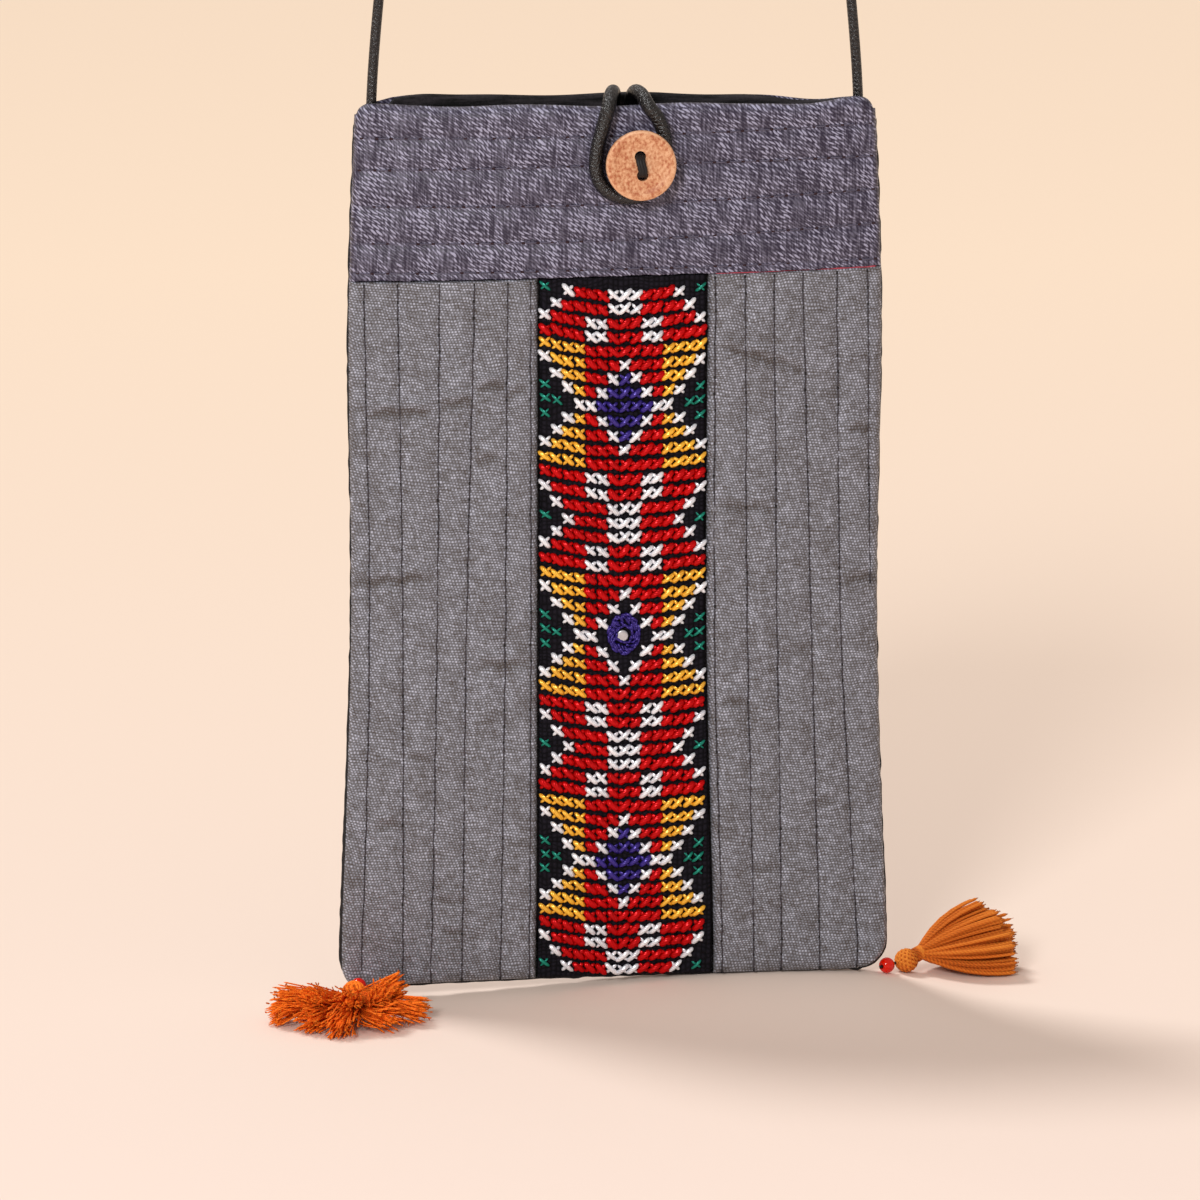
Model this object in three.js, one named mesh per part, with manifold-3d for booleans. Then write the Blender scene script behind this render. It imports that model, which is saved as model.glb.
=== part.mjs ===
// A phone sling bag: a flat pouch of quilted cloth with a cross-stitched strip down its front, a band
// round its mouth, a button with a cord loop, a cord strap and a tassel at each lower corner.
// Millimetres, +Z up, the front towards -Y. The origin is the top of the strap, where the bag hangs.
import * as THREE from "three";
import { LoftGeometry } from "three/addons/geometries/LoftGeometry.js";
import { mergeVertices } from "three/addons/utils/BufferGeometryUtils.js";
import Module from "manifold-3d";

const wasm = await Module();
wasm.setup();
const { degToRad, lerp } = THREE.MathUtils;

// Driving dimensions. Heights (up) count from the bag's bottom edge, and x (across) from its middle.
const MOUTH = 194.4;
const HANG = 690;
const CLOTH = 2;
const STRIP_CLOTH = 1.4;
const LINING_CLOTH = 0.9;
const GAP = 0.3;

// The pouch: its rounded lower corners, how squarely its section fills out, and its bottom's slope.
const CORNER = 6.5;
const ROUNDNESS = 2.4;
const BOTTOM = 0.5;
const BOTTOM_SLOPE = 0.007;

// The outline on each side of the middle, and how far the hollow swells to the front and the back.
const BODY = [
  { up: 0, left: 60.1, right: 60.2, front: 0.4, back: 0.4 },
  { up: 12, left: 59.8, right: 59.9, front: 3.0, back: 2.6 },
  { up: 40, left: 58.8, right: 58.6, front: 4.9, back: 4.1 },
  { up: 84, left: 57.8, right: 57.3, front: 5.7, back: 4.8 },
  { up: 152, left: 57.0, right: 57.2, front: 5.9, back: 5.0 },
  { up: 195, left: 55.5, right: 55.1, front: 5.8, back: 4.9 },
];

// Quilting lines of the two front panels, from the outer one to the edge sewn over the strip.
const LEFT_LINES = [
  { up: 5, line1: -55.9, line2: -46.9, line3: -40.8, line4: -34.0, line5: -25.6, line6: -19.2, edge: -17.6 },
  { up: 78, line1: -53.7, line2: -46.5, line3: -39.2, line4: -32.9, line5: -24.5, line6: -19.0, edge: -17.4 },
  { up: 153, line1: -54.3, line2: -47.2, line3: -38.3, line4: -30.9, line5: -23.8, line6: -18.9, edge: -17.2 },
];
const RIGHT_LINES = [
  { up: 5, edge: 21.6, line1: 23.3, line2: 30.3, line3: 36.5, line4: 44.9, line5: 53.4, line6: 59.0 },
  { up: 78, edge: 19.4, line1: 21.0, line2: 28.2, line3: 34.8, line4: 42.4, line5: 49.0, line6: 55.8 },
  { up: 153, edge: 19.4, line1: 20.9, line2: 27.4, line3: 33.7, line4: 40.0, line5: 47.5, line6: 54.3 },
];
const BACK_CHANNELS = 12;
const LINE_MARGIN = 0.6;

// Rows of running stitch round the mouth band, above its lower edge.
const BAND_ROWS = [
  { across: -57, edge: 156.6, row5: 158.1, row4: 164.6, row3: 172.6, row2: 180.4, row1: 187.3 },
  { across: 0, edge: 157.9, row5: 159.2, row4: 165.5, row3: 173.3, row2: 181.7, row1: 188.0 },
  { across: 57, edge: 158.4, row5: 159.8, row4: 167.6, row3: 175.0, row2: 182.2, row1: 189.3 },
];
const BAND_COLUMNS = 18;

// A rib's height over its width, the facets that round it, and where the walls' sections lie.
const PANEL_PUFF = 0.12;
const BAND_PUFF = 0.08;
const RIB_PARTS = 3;
const WALL_ROWS = [0, 0.007, 0.02, 0.045, 0.09, 0.18, 0.34, 0.51, 0.68, 0.84, 1];
const STRIP_COLUMNS = 6;

// The lining's pouch inside the walls.
const LINING_SIDE = 6;
const LINING_FLOOR = 9;
const LINING_DEEP = 15;
const LINING_RIM = MOUTH - 0.8;
const LINING_COLUMNS = 14;
const LINING_ROWS = [0, 0.05, 0.15, 0.32, 0.5, 0.7, 0.88, 1];
const LINING_LEAST = 0.15;

// The strap, a satin cord: where its ends are sewn in, and the arch that it hangs from.
const STRAP = { radius: 1.1, sides: 8, foot: 52.3, socket: 7.5, arch: 10, lean: 5 };
const STRAND_STEPS = 8;
const ARCH_STEPS = 14;

// The button, its two holes, and the thread bar that holds it.
const BUTTON = { across: 4.3, up: 182.4, radius: 7.5, back: 12.4, thick: 2.3, sides: 32 };
const BUTTON_HOLE = { shift: -0.25, apart: 2.25, radius: 1.35 };
const BUTTON_THREAD = { radius: 1.0, sides: 8, from: 9.1, bend: 14.6, front: 15.65, turn: 0.55 };

// The loop over the button: a satin cord from inside the back of the mouth, over the front and round.
const LOOP_CORD = { radius: 1.55, sides: 10, steps: 40 };
const LOOP_ROUTE = [
  { across: -0.4, out: 1.6, up: 188.5 },
  { across: -0.4, out: 1.6, up: 193.6 },
  { across: -0.5, out: -1.2, up: 196.3 },
  { across: -1.5, out: -6.8, up: 196.6 },
  { across: -2.4, out: -10.4, up: 194.4 },
  { across: -3.5, out: -10.6, up: 190.6 },
  { across: -4.8, out: -10.6, up: 185.3 },
  { across: -5.0, out: -10.6, up: 181.0 },
  { across: -3.5, out: -10.6, up: 177.4 },
  { across: -0.3, out: -10.6, up: 175.4 },
  { across: 3.5, out: -10.6, up: 175.2 },
  { across: 7.0, out: -10.6, up: 177.4 },
  { across: 8.9, out: -10.6, up: 181.3 },
  { across: 9.7, out: -10.6, up: 185.1 },
  { across: 9.5, out: -10.6, up: 188.4 },
  { across: 8.2, out: -10.6, up: 191.9 },
  { across: 6.3, out: -10.4, up: 194.4 },
  { across: 5.0, out: -6.8, up: 196.6 },
  { across: 3.9, out: -1.2, up: 196.3 },
  { across: 3.6, out: 1.6, up: 193.6 },
  { across: 3.6, out: 1.6, up: 188.5 },
];

// The little mirror sewn into the middle diamond of the strip.
const MIRROR = { across: 0.9, up: 78.7, radius: 1.25, thick: 0.5, sides: 16 };

// A tassel: its bead on a thread, its wound ball and neck, and its locks. A lock leaves the neck at
// turn degrees from +X towards +Y and rises by rise degrees; wide is its radius near the end.
const BEAD = { radius: 1.75, hole: 0.65, sides: 14, parts: 8 };
const TASSEL_THREAD = { radius: 0.35, sides: 8, spare: 0.5 };
const BALL = { radius: 2.7, sides: 14, rings: 9 };
const NECK = { radius: 1.7, sides: 10 };
const LOCK = { sides: 9, root: 1.5, shoulder: 0.15, flat: 0.8 };
const TASSELS = [
  {
    name: "left",
    bead: new THREE.Vector3(-56.8, -5.6, 0.9),
    ball: new THREE.Vector3(-58.0, -10.0, 0.6),
    neck: new THREE.Vector3(-58.9, -13.6, 0.4),
    colour: 0xcc6014,
    locks: [
      { turn: 195, rise: -4, long: 19.5, wide: 2.9 },
      { turn: 203, rise: 7, long: 18.0, wide: 2.8 },
      { turn: 231, rise: -6, long: 18.5, wide: 2.8 },
      { turn: 259, rise: -5, long: 19.0, wide: 3.0 },
      { turn: 297, rise: -5, long: 18.0, wide: 2.9 },
      { turn: 334, rise: -4, long: 18.0, wide: 2.9 },
      { turn: 225, rise: 12, long: 15.5, wide: 2.6 },
      { turn: 266, rise: 12, long: 16.0, wide: 2.8 },
      { turn: 304, rise: 13, long: 15.0, wide: 2.7 },
      { turn: 340, rise: 16, long: 12.5, wide: 2.5 },
    ],
  },
  {
    name: "right",
    bead: new THREE.Vector3(60.3, 0.3, 1.1),
    ball: new THREE.Vector3(65.1, 3.6, 1.2),
    neck: new THREE.Vector3(68.6, 5.7, 2.4),
    colour: 0xc07420,
    locks: [
      { turn: 23, rise: -11, long: 24.0, wide: 2.7 },
      { turn: 9, rise: -9, long: 22.5, wide: 2.6 },
      { turn: 37, rise: -9, long: 22.5, wide: 2.6 },
      { turn: 3, rise: 4, long: 21.5, wide: 2.6 },
      { turn: 43, rise: 4, long: 21.5, wide: 2.6 },
      { turn: 23, rise: 5, long: 24.0, wide: 3.0 },
      { turn: 12, rise: 18, long: 20.0, wide: 2.7 },
      { turn: 33, rise: 18, long: 20.0, wide: 2.7 },
      { turn: 23, rise: 26, long: 18.5, wide: 2.5 },
    ],
  },
];

// Cloth, cord, wood and glass, by colour and gloss.
const MATERIALS = {
  panel: { color: 0x77767a, roughness: 0.75 },
  band: { color: 0x5f5e6c, roughness: 0.8 },
  strip: { color: 0x15131a, roughness: 0.9 },
  lining: { color: 0x141214, roughness: 0.85 },
  cord: { color: 0x141214, roughness: 0.45 },
  wood: { color: 0xd09a6c, roughness: 0.5 },
  bead: { color: 0xc81408, roughness: 0.1 },
  thread: { color: 0x2b2b33, roughness: 0.8 },
  mirror: { color: 0xd8d8dc, roughness: 0.15, metalness: 0.9 },
};

// A smooth reading of a table by its first column: the other columns at that place, in their order.
function reader(table) {
  const [place, ...columns] = Object.keys(table[0]);
  const places = table.map((row) => row[place]);
  const values = table.flatMap((row) => columns.map((column) => row[column]));
  const spline = new THREE.CubicInterpolant(places, values, columns.length);
  return (at) => Array.from(spline.evaluate(at));
}

const bodyAt = reader(BODY);
const leftLinesAt = reader(LEFT_LINES);
const rightLinesAt = reader(RIGHT_LINES);
const bandRowsAt = reader(BAND_ROWS);

// How far a lower corner's round takes the side seam in.
function cornerInset(up) {
  if (up >= CORNER) {
    return 0;
  }
  return CORNER - Math.sqrt(CORNER ** 2 - (CORNER - up) ** 2);
}

function leftSide(up) {
  return cornerInset(up) - bodyAt(up)[0];
}

function rightSide(up) {
  return bodyAt(up)[1] - cornerInset(up);
}

// The hollow's depth in front of or behind the seam plane.
function hollow(x, up, side) {
  const [left, right, front, back] = bodyAt(up);
  const share = Math.min(1, Math.abs(x) / (x < 0 ? left : right));
  const fullness = side === "front" ? front : back;
  return GAP / 2 + fullness * (1 - share ** ROUNDNESS);
}

function bottomEdge(x) {
  return BOTTOM + BOTTOM_SLOPE * x;
}

function panelTop(x) {
  return bandRowsAt(x)[0] - GAP;
}

// Stops from seam to seam, with a rounded rib between each two seams.
function ribbed(seams, puff) {
  const stops = seams.slice(1).flatMap((end, i) => {
    const start = seams[i];
    return Array.from({ length: RIB_PARTS }, (_, part) => {
      const share = part / RIB_PARTS;
      const crown = 4 * share * (1 - share);
      return { at: lerp(start, end, share), lift: puff * (end - start) * crown };
    });
  });
  return [...stops, { at: seams.at(-1), lift: 0 }];
}

// A cloth wall from a grid of stops, a row for each section from its lower edge to its upper edge. Its
// inner face needs only every innerStep-th stop.
function clothWall(side, grid, cloth, innerStep) {
  const out = side === "front" ? -1 : 1;
  const place = ({ x, up }, proud) =>
    new THREE.Vector3(x, out * (hollow(x, up, side) + proud), up);
  const sections = grid.map((row) => {
    const outer = row.map((stop) => place(stop, cloth + stop.lift));
    const inner = row.filter((_, i) => i % innerStep === 0).map((stop) => place(stop, 0));
    const ring = [...outer, ...inner.reverse()];
    return side === "front" ? ring : ring.reverse();
  });
  return new LoftGeometry(sections, { capStart: true, capEnd: true });
}

// A quilted panel, whose seams run upwards.
function panel(side, seamsAt) {
  const grid = WALL_ROWS.map((share) => {
    const level = lerp(BOTTOM, panelTop(0), share);
    return ribbed(seamsAt(level), PANEL_PUFF).map(({ at, lift }) => ({
      x: at,
      up: lerp(bottomEdge(at), panelTop(at), share),
      lift,
    }));
  });
  return clothWall(side, grid, CLOTH, RIB_PARTS);
}

function leftSeams(up) {
  const side = leftSide(up);
  return [side, ...leftLinesAt(up).map((line) => Math.max(line, side + LINE_MARGIN))];
}

function rightSeams(up) {
  const side = rightSide(up);
  return [...rightLinesAt(up).map((line) => Math.min(line, side - LINE_MARGIN)), side];
}

function backSeams(up) {
  return Array.from({ length: BACK_CHANNELS + 1 }, (_, i) =>
    lerp(leftSide(up), rightSide(up), i / BACK_CHANNELS),
  );
}

// The plain strip between the front panels' sewn edges.
function strip() {
  const grid = WALL_ROWS.map((share) => {
    const level = lerp(BOTTOM, panelTop(0), share);
    const from = leftLinesAt(level).at(-1) + GAP;
    const to = rightLinesAt(level)[0] - GAP;
    return Array.from({ length: STRIP_COLUMNS + 1 }, (_, i) => {
      const x = lerp(from, to, i / STRIP_COLUMNS);
      return { x, up: lerp(bottomEdge(x), panelTop(x), share), lift: 0 };
    });
  });
  return clothWall("front", grid, STRIP_CLOTH, 1);
}

// Half of the mouth band, whose rows of stitching run across, with a socket for each strap end.
function band(side) {
  const columns = Array.from({ length: BAND_COLUMNS + 1 }, (_, i) => {
    const share = i / BAND_COLUMNS;
    const middle = lerp(leftSide(MOUTH), rightSide(MOUTH), share);
    return ribbed([...bandRowsAt(middle), MOUTH], BAND_PUFF).map(({ at, lift }) => ({
      x: lerp(leftSide(at), rightSide(at), share),
      up: at,
      lift,
    }));
  });
  const grid = columns[0].map((_, row) => columns.map((column) => column[row]));
  let cloth = solid(clothWall(side, grid, CLOTH, 2));
  for (const foot of [-STRAP.foot, STRAP.foot]) {
    cloth = cloth.subtract(solid(strapSocket(foot)));
  }
  return geometryOf(cloth);
}

function strapSocket(foot) {
  const depth = STRAP.socket + GAP;
  const radius = STRAP.radius + GAP;
  return new THREE.CylinderGeometry(radius, radius, 2 * depth, STRAP.sides)
    .rotateX(Math.PI / 2)
    .translate(foot, 0, MOUTH);
}

// The lining's pouch: a round-sided bag of thin cloth, cut hollow from above.
function lining() {
  const outer = liningForm(LINING_FLOOR, LINING_RIM, GAP);
  const inner = liningForm(LINING_DEEP, LINING_RIM + GAP, GAP + LINING_CLOTH);
  return geometryOf(solid(outer).subtract(solid(inner)));
}

function liningForm(floor, rim, inset) {
  const sections = LINING_ROWS.map((share) => {
    const up = lerp(floor, rim, share);
    const from = leftSide(up) + LINING_SIDE + inset;
    const to = rightSide(up) - LINING_SIDE - inset;
    const face = (side, out) =>
      Array.from({ length: LINING_COLUMNS + 1 }, (_, i) => {
        const x = lerp(from, to, i / LINING_COLUMNS);
        const deep = Math.max(LINING_LEAST, hollow(x, up, side) - inset);
        return new THREE.Vector3(x, out * deep, up);
      });
    return [...face("front", -1), ...face("back", 1).reverse()];
  });
  return new LoftGeometry(sections, { capStart: true, capEnd: true });
}

// A round cord through a row of stations, with flat ends.
function cord(stations, radius, sides) {
  const start = stations[1].clone().sub(stations[0]).normalize();
  let side = new THREE.Vector3(0, 1, 0);
  if (Math.abs(start.y) > 0.9) {
    side = new THREE.Vector3(1, 0, 0);
  }
  const sections = stations.map((centre, i) => {
    const ahead = stations[Math.min(i + 1, stations.length - 1)];
    const behind = stations[Math.max(i - 1, 0)];
    const along = ahead.clone().sub(behind).normalize();
    const across = side.clone().cross(along).normalize();
    side = along.clone().cross(across);
    return Array.from({ length: sides }, (_, k) => {
      const angle = (2 * Math.PI * k) / sides;
      return centre
        .clone()
        .addScaledVector(across, radius * Math.cos(angle))
        .addScaledVector(side, radius * Math.sin(angle));
    });
  });
  return new LoftGeometry(sections, { capStart: true, capEnd: true });
}

// The strap: straight up from each corner of the mouth, and over the point that it hangs from.
function strap() {
  const { arch, foot, lean, radius, sides, socket } = STRAP;
  const archPoint = (degrees) => {
    const angle = degToRad(degrees);
    return new THREE.Vector3(arch * Math.cos(angle), 0, HANG - arch + arch * Math.sin(angle));
  };
  const rightFoot = new THREE.Vector3(foot, 0, MOUTH);
  const leftFoot = new THREE.Vector3(-foot, 0, MOUTH);
  const rightTop = archPoint(-lean);
  const leftTop = archPoint(180 + lean);
  const strand = (from, to) =>
    Array.from({ length: STRAND_STEPS }, (_, i) => from.clone().lerp(to, i / STRAND_STEPS));
  const overTop = Array.from({ length: ARCH_STEPS + 1 }, (_, i) =>
    archPoint(lerp(-lean, 180 + lean, i / ARCH_STEPS)),
  );
  const stations = [
    new THREE.Vector3(foot, 0, MOUTH - socket),
    ...strand(rightFoot, rightTop),
    ...overTop,
    ...strand(leftFoot, leftTop).reverse(),
    new THREE.Vector3(-foot, 0, MOUTH - socket),
  ];
  return cord(stations, radius, sides);
}

function buttonLoop() {
  const route = new THREE.CatmullRomCurve3(
    LOOP_ROUTE.map(({ across, out, up }) => new THREE.Vector3(across, out, up)),
  );
  return cord(route.getSpacedPoints(LOOP_CORD.steps), LOOP_CORD.radius, LOOP_CORD.sides);
}

// The button: a turned disc with a raised rim, and a hole above and below its middle.
function button() {
  const { across, back, radius, sides, thick, up } = BUTTON;
  const profile = [
    [0, 0],
    [radius - 0.7, 0],
    [radius, 0.6],
    [radius, thick - 0.6],
    [radius - 0.5, thick],
    [radius - 1.3, thick],
    [radius - 1.9, thick - 0.4],
    [0, thick - 0.4],
  ].map(([r, h]) => new THREE.Vector2(r, h));
  let disc = solid(new THREE.LatheGeometry(profile, sides));
  for (const end of [-1, 1]) {
    const hole = new THREE.CylinderGeometry(BUTTON_HOLE.radius, BUTTON_HOLE.radius, 3 * thick, 12);
    hole.translate(-end * BUTTON_HOLE.shift, 0, end * BUTTON_HOLE.apart);
    disc = disc.subtract(solid(hole));
  }
  return geometryOf(disc)
    .rotateZ(Math.PI)
    .translate(across, -back, up);
}

function buttonThread() {
  const { bend, from, front, radius, sides, turn } = BUTTON_THREAD;
  const leg = (end) => {
    const x = BUTTON.across + end * BUTTON_HOLE.shift;
    const up = BUTTON.up + end * BUTTON_HOLE.apart;
    return [
      new THREE.Vector3(x, -from, up),
      new THREE.Vector3(x, -bend, up),
      new THREE.Vector3(x, -front, up - end * turn),
    ];
  };
  return cord([...leg(1), ...leg(-1).reverse()], radius, sides);
}

function mirror() {
  const { across, radius, sides, thick, up } = MIRROR;
  const seat = hollow(across, up, "front") + STRIP_CLOTH + GAP;
  return new THREE.CylinderGeometry(radius, radius, thick, sides).translate(
    across,
    -seat - thick / 2,
    up,
  );
}

// A drilled bead, its hole along the given direction.
function bead(centre, direction) {
  const { hole, parts, radius, sides } = BEAD;
  const reach = Math.acos(hole / radius);
  const profile = Array.from({ length: parts + 1 }, (_, i) => {
    const angle = lerp(-reach, reach, i / parts);
    return new THREE.Vector2(radius * Math.cos(angle), radius * Math.sin(angle));
  });
  return pointed(new THREE.LatheGeometry([...profile, profile[0].clone()], sides), direction).translate(
    ...centre.toArray(),
  );
}

// Turns a shape that stands along +Y to stand along a direction.
function pointed(shape, direction) {
  const turn = new THREE.Quaternion().setFromUnitVectors(new THREE.Vector3(0, 1, 0), direction);
  return shape.applyQuaternion(turn);
}

function tasselThread({ ball, bead: centre }) {
  const along = ball.clone().sub(centre).normalize();
  const start = centre.clone().addScaledVector(along, -BEAD.radius - TASSEL_THREAD.spare);
  const end = ball.clone().addScaledVector(along, -BALL.radius - GAP);
  return cord([start, centre, end], TASSEL_THREAD.radius, TASSEL_THREAD.sides);
}

// A tassel as one soft body: its wound ball, its neck and the locks that flare from the neck.
function tassel({ ball, locks, neck }) {
  const { radius, rings, sides } = BALL;
  const along = neck.clone().sub(ball);
  let body = solid(
    new THREE.SphereGeometry(radius, sides, rings).translate(...ball.toArray()),
  );
  const neckForm = new THREE.CylinderGeometry(NECK.radius, NECK.radius, along.length(), NECK.sides);
  pointed(neckForm, along.clone().normalize()).translate(...ball.clone().lerp(neck, 0.5).toArray());
  body = body.add(solid(neckForm));
  for (const lock of locks) {
    body = body.add(solid(lockForm(lock).translate(...neck.toArray())));
  }
  return geometryOf(body);
}

// A lock of yarn that swells at its shoulder and ends in a blunt brush.
function lockForm({ long, rise, turn, wide }) {
  const profile = [
    [0, -LOCK.root],
    [LOCK.root, 0],
    [0.9 * wide, LOCK.shoulder * long],
    [wide, 0.8 * long],
    [0.85 * wide, 0.97 * long],
    [0, long],
  ].map(([r, h]) => new THREE.Vector2(r, h));
  const level = Math.cos(degToRad(rise));
  const direction = new THREE.Vector3(
    level * Math.cos(degToRad(turn)),
    level * Math.sin(degToRad(turn)),
    Math.sin(degToRad(rise)),
  );
  return pointed(new THREE.LatheGeometry(profile, LOCK.sides).scale(1, 1, LOCK.flat), direction);
}

// A geometry as a solid that can be joined and cut, and back again.
function solid(geometry) {
  const bare = new THREE.BufferGeometry()
    .setAttribute("position", geometry.getAttribute("position"))
    .setIndex(geometry.index);
  const merged = mergeVertices(bare);
  return new wasm.Manifold(
    new wasm.Mesh({
      numProp: 3,
      vertProperties: merged.getAttribute("position").array,
      triVerts: new Uint32Array(merged.index.array),
    }),
  );
}

function geometryOf(body) {
  const { triVerts, vertProperties } = body.getMesh();
  const geometry = new THREE.BufferGeometry()
    .setAttribute("position", new THREE.BufferAttribute(vertProperties, 3))
    .setIndex(new THREE.BufferAttribute(triVerts, 1));
  geometry.computeVertexNormals();
  return geometry;
}

const bag = new THREE.Group();
bag.position.z = -HANG;

function add(name, geometry, finish) {
  const piece = new THREE.Mesh(geometry, new THREE.MeshStandardMaterial(finish));
  piece.name = name;
  bag.add(piece);
}

add("front_panel_left", panel("front", leftSeams), MATERIALS.panel);
add("front_panel_right", panel("front", rightSeams), MATERIALS.panel);
add("back_panel", panel("back", backSeams), MATERIALS.panel);
add("embroidered_strip", strip(), MATERIALS.strip);
add("front_band", band("front"), MATERIALS.band);
add("back_band", band("back"), MATERIALS.band);
add("lining", lining(), MATERIALS.lining);
add("shoulder_strap", strap(), MATERIALS.cord);
add("button_loop", buttonLoop(), MATERIALS.cord);
add("button", button(), MATERIALS.wood);
add("button_thread", buttonThread(), MATERIALS.cord);
add("mirror_disc", mirror(), MATERIALS.mirror);
for (const corner of TASSELS) {
  const along = corner.ball.clone().sub(corner.bead).normalize();
  add(`bead_${corner.name}`, bead(corner.bead, along), MATERIALS.bead);
  add(`tassel_thread_${corner.name}`, tasselThread(corner), MATERIALS.thread);
  add(`tassel_${corner.name}`, tassel(corner), { color: corner.colour, roughness: 0.9 });
}

const part = new THREE.Group();
part.add(bag);

export default part;
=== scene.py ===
"""A phone sling bag: quilted cloth, cross-stitch, cord, wood, glass and yarn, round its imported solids."""

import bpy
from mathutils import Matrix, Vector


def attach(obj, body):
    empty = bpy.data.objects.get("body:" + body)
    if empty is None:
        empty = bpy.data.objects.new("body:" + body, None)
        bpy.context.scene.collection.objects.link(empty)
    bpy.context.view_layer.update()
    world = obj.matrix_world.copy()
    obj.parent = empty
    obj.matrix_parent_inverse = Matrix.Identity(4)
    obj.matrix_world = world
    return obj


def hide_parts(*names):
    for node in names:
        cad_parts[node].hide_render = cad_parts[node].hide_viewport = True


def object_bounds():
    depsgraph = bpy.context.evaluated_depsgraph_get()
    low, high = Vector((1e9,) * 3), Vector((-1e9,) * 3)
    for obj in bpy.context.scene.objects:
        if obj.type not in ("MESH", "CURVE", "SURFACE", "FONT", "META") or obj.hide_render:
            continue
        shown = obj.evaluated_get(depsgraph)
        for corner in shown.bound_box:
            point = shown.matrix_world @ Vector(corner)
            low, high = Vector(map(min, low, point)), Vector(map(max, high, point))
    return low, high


bl_info = {
    "name": "Phone Sling Bag",
    "version": (1, 0, 0),
    "blender": (4, 5, 0),
    "location": "3D View > Sidebar > Sling Bag",
    "description": "Makes a quilted phone sling bag with a cross-stitched front, round its packed solids",
    "category": "Object",
}

import math

import bmesh
import bpy
import numpy as np
from bpy.props import FloatProperty, FloatVectorProperty, IntProperty, PointerProperty
from mathutils import Vector

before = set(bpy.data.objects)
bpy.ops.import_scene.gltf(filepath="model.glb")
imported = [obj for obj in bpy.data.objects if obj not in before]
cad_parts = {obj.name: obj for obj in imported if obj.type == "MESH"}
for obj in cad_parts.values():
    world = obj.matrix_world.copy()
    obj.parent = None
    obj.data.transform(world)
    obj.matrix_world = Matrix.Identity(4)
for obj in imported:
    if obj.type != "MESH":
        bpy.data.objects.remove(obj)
CAD_BOUNDS = [list(corner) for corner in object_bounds()]

# Sizes of the bag, in millimetres. Heights (up) count from its bottom edge, and x from its middle.
MM = 0.001
HANG = 690.0
MOUTH = 194.4
CLOTH = 2.0
STRIP_CLOTH = 1.4
LINING_CLOTH = 0.9
GAP = 0.3
CORNER, CORNER_AT = 6.5, 56.0
ROUNDNESS = 2.4
BOTTOM = 0.5
BOTTOM_SLOPE = 0.007
BOTTOM_SAG, SAG_FROM, SAG_OVER = 1.0, -15.0, 45.0
FRONT, BACK = -1, 1
WELD = 1e-6
# The length of cord, in millimetres, that counts as one in its UV map
STRAND_LENGTH = 20.0

# up, left side, right side, fullness of the front, fullness of the back
BODY = (
    (0, 60.2, 60.2, 0.4, 0.4),
    (12, 60.1, 59.9, 3.0, 2.6),
    (40, 58.9, 58.6, 4.9, 4.1),
    (84, 57.5, 57.3, 5.7, 4.8),
    (152, 57.5, 57.7, 5.9, 5.0),
    (195, 55.9, 56.0, 5.8, 4.9),
)
# up, then the quilting lines from the left side to the edge over the strip
LEFT_LINES = (
    (5, -55.9, -46.9, -40.8, -34.0, -25.6, -19.2, -17.6),
    (78, -53.7, -46.5, -39.2, -32.9, -24.5, -19.0, -17.4),
    (153, -54.3, -47.2, -38.3, -30.9, -23.8, -18.9, -17.2),
)
# up, then the edge over the strip and the quilting lines out to the right side
RIGHT_LINES = (
    (5, 21.6, 23.3, 30.3, 36.5, 44.9, 53.4, 59.0),
    (78, 19.4, 21.0, 28.2, 34.8, 42.4, 49.0, 55.8),
    (153, 19.4, 20.9, 27.4, 33.7, 40.0, 47.5, 54.3),
)
LINE_MARGIN = 0.6
SEAM_MARGIN = 1.7
BACK_CHANNELS = 12
# across, then the band's lower edge and its rows of stitching upwards
BAND_ROWS = (
    (-57, 156.6, 158.1, 164.6, 172.6, 180.4, 187.3),
    (0, 157.9, 159.2, 165.5, 173.3, 181.7, 188.0),
    (57, 158.4, 159.8, 167.6, 175.0, 182.2, 189.3),
)

# Soft creases across the quilted ribs: from x, to x, up at each end, depth
LEFT_CREASES = (
    (-53.5, -40.5, 127.7, 128.4, 0.42),
    (-38.0, -31.5, 130.0, 130.6, 0.36),
    (-30.5, -24.0, 133.8, 134.2, 0.36),
    (-24.0, -19.5, 132.5, 133.2, 0.22),
    (-57.0, -40.0, 90.6, 91.8, 0.40),
    (-31.0, -25.0, 118.0, 118.4, 0.26),
    (-31.0, -19.0, 72.4, 73.0, 0.30),
    (-39.6, -33.0, 19.5, 19.2, 0.26),
    (-38.8, -33.0, 12.4, 12.0, 0.24),
    (-46.0, -40.0, 52.0, 51.4, 0.18),
    (-53.0, -47.0, 36.0, 37.0, 0.18),
)
RIGHT_CREASES = (
    (22.0, 40.0, 142.0, 136.5, 0.34),
    (50.0, 55.5, 123.0, 122.4, 0.30),
    (21.7, 34.7, 107.0, 106.0, 0.30),
    (48.9, 57.6, 89.3, 90.0, 0.32),
    (22.8, 28.2, 63.7, 63.2, 0.24),
    (35.0, 42.0, 74.0, 74.8, 0.18),
    (42.0, 49.0, 40.0, 40.6, 0.18),
    (28.0, 36.0, 26.0, 25.4, 0.20),
)
BACK_CREASES = (
    (-48.0, -30.0, 118.0, 119.0, 0.26),
    (-20.0, 2.0, 84.0, 83.0, 0.24),
    (22.0, 46.0, 127.0, 125.6, 0.28),
    (12.0, 30.0, 46.0, 46.8, 0.24),
    (-52.0, -38.0, 58.0, 57.2, 0.24),
)
CREASE_WIDTH = 0.95
CREASE_DEPTH = 1.7
# How deep a crease is where its painted brown shade is full
CREASE_SHADE_FULL = 0.5
# Where the lip beside a crease stands, its width and its height, for a crease of width and depth one
CREASE_LIP = (1.9, 1, 0.6)

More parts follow.
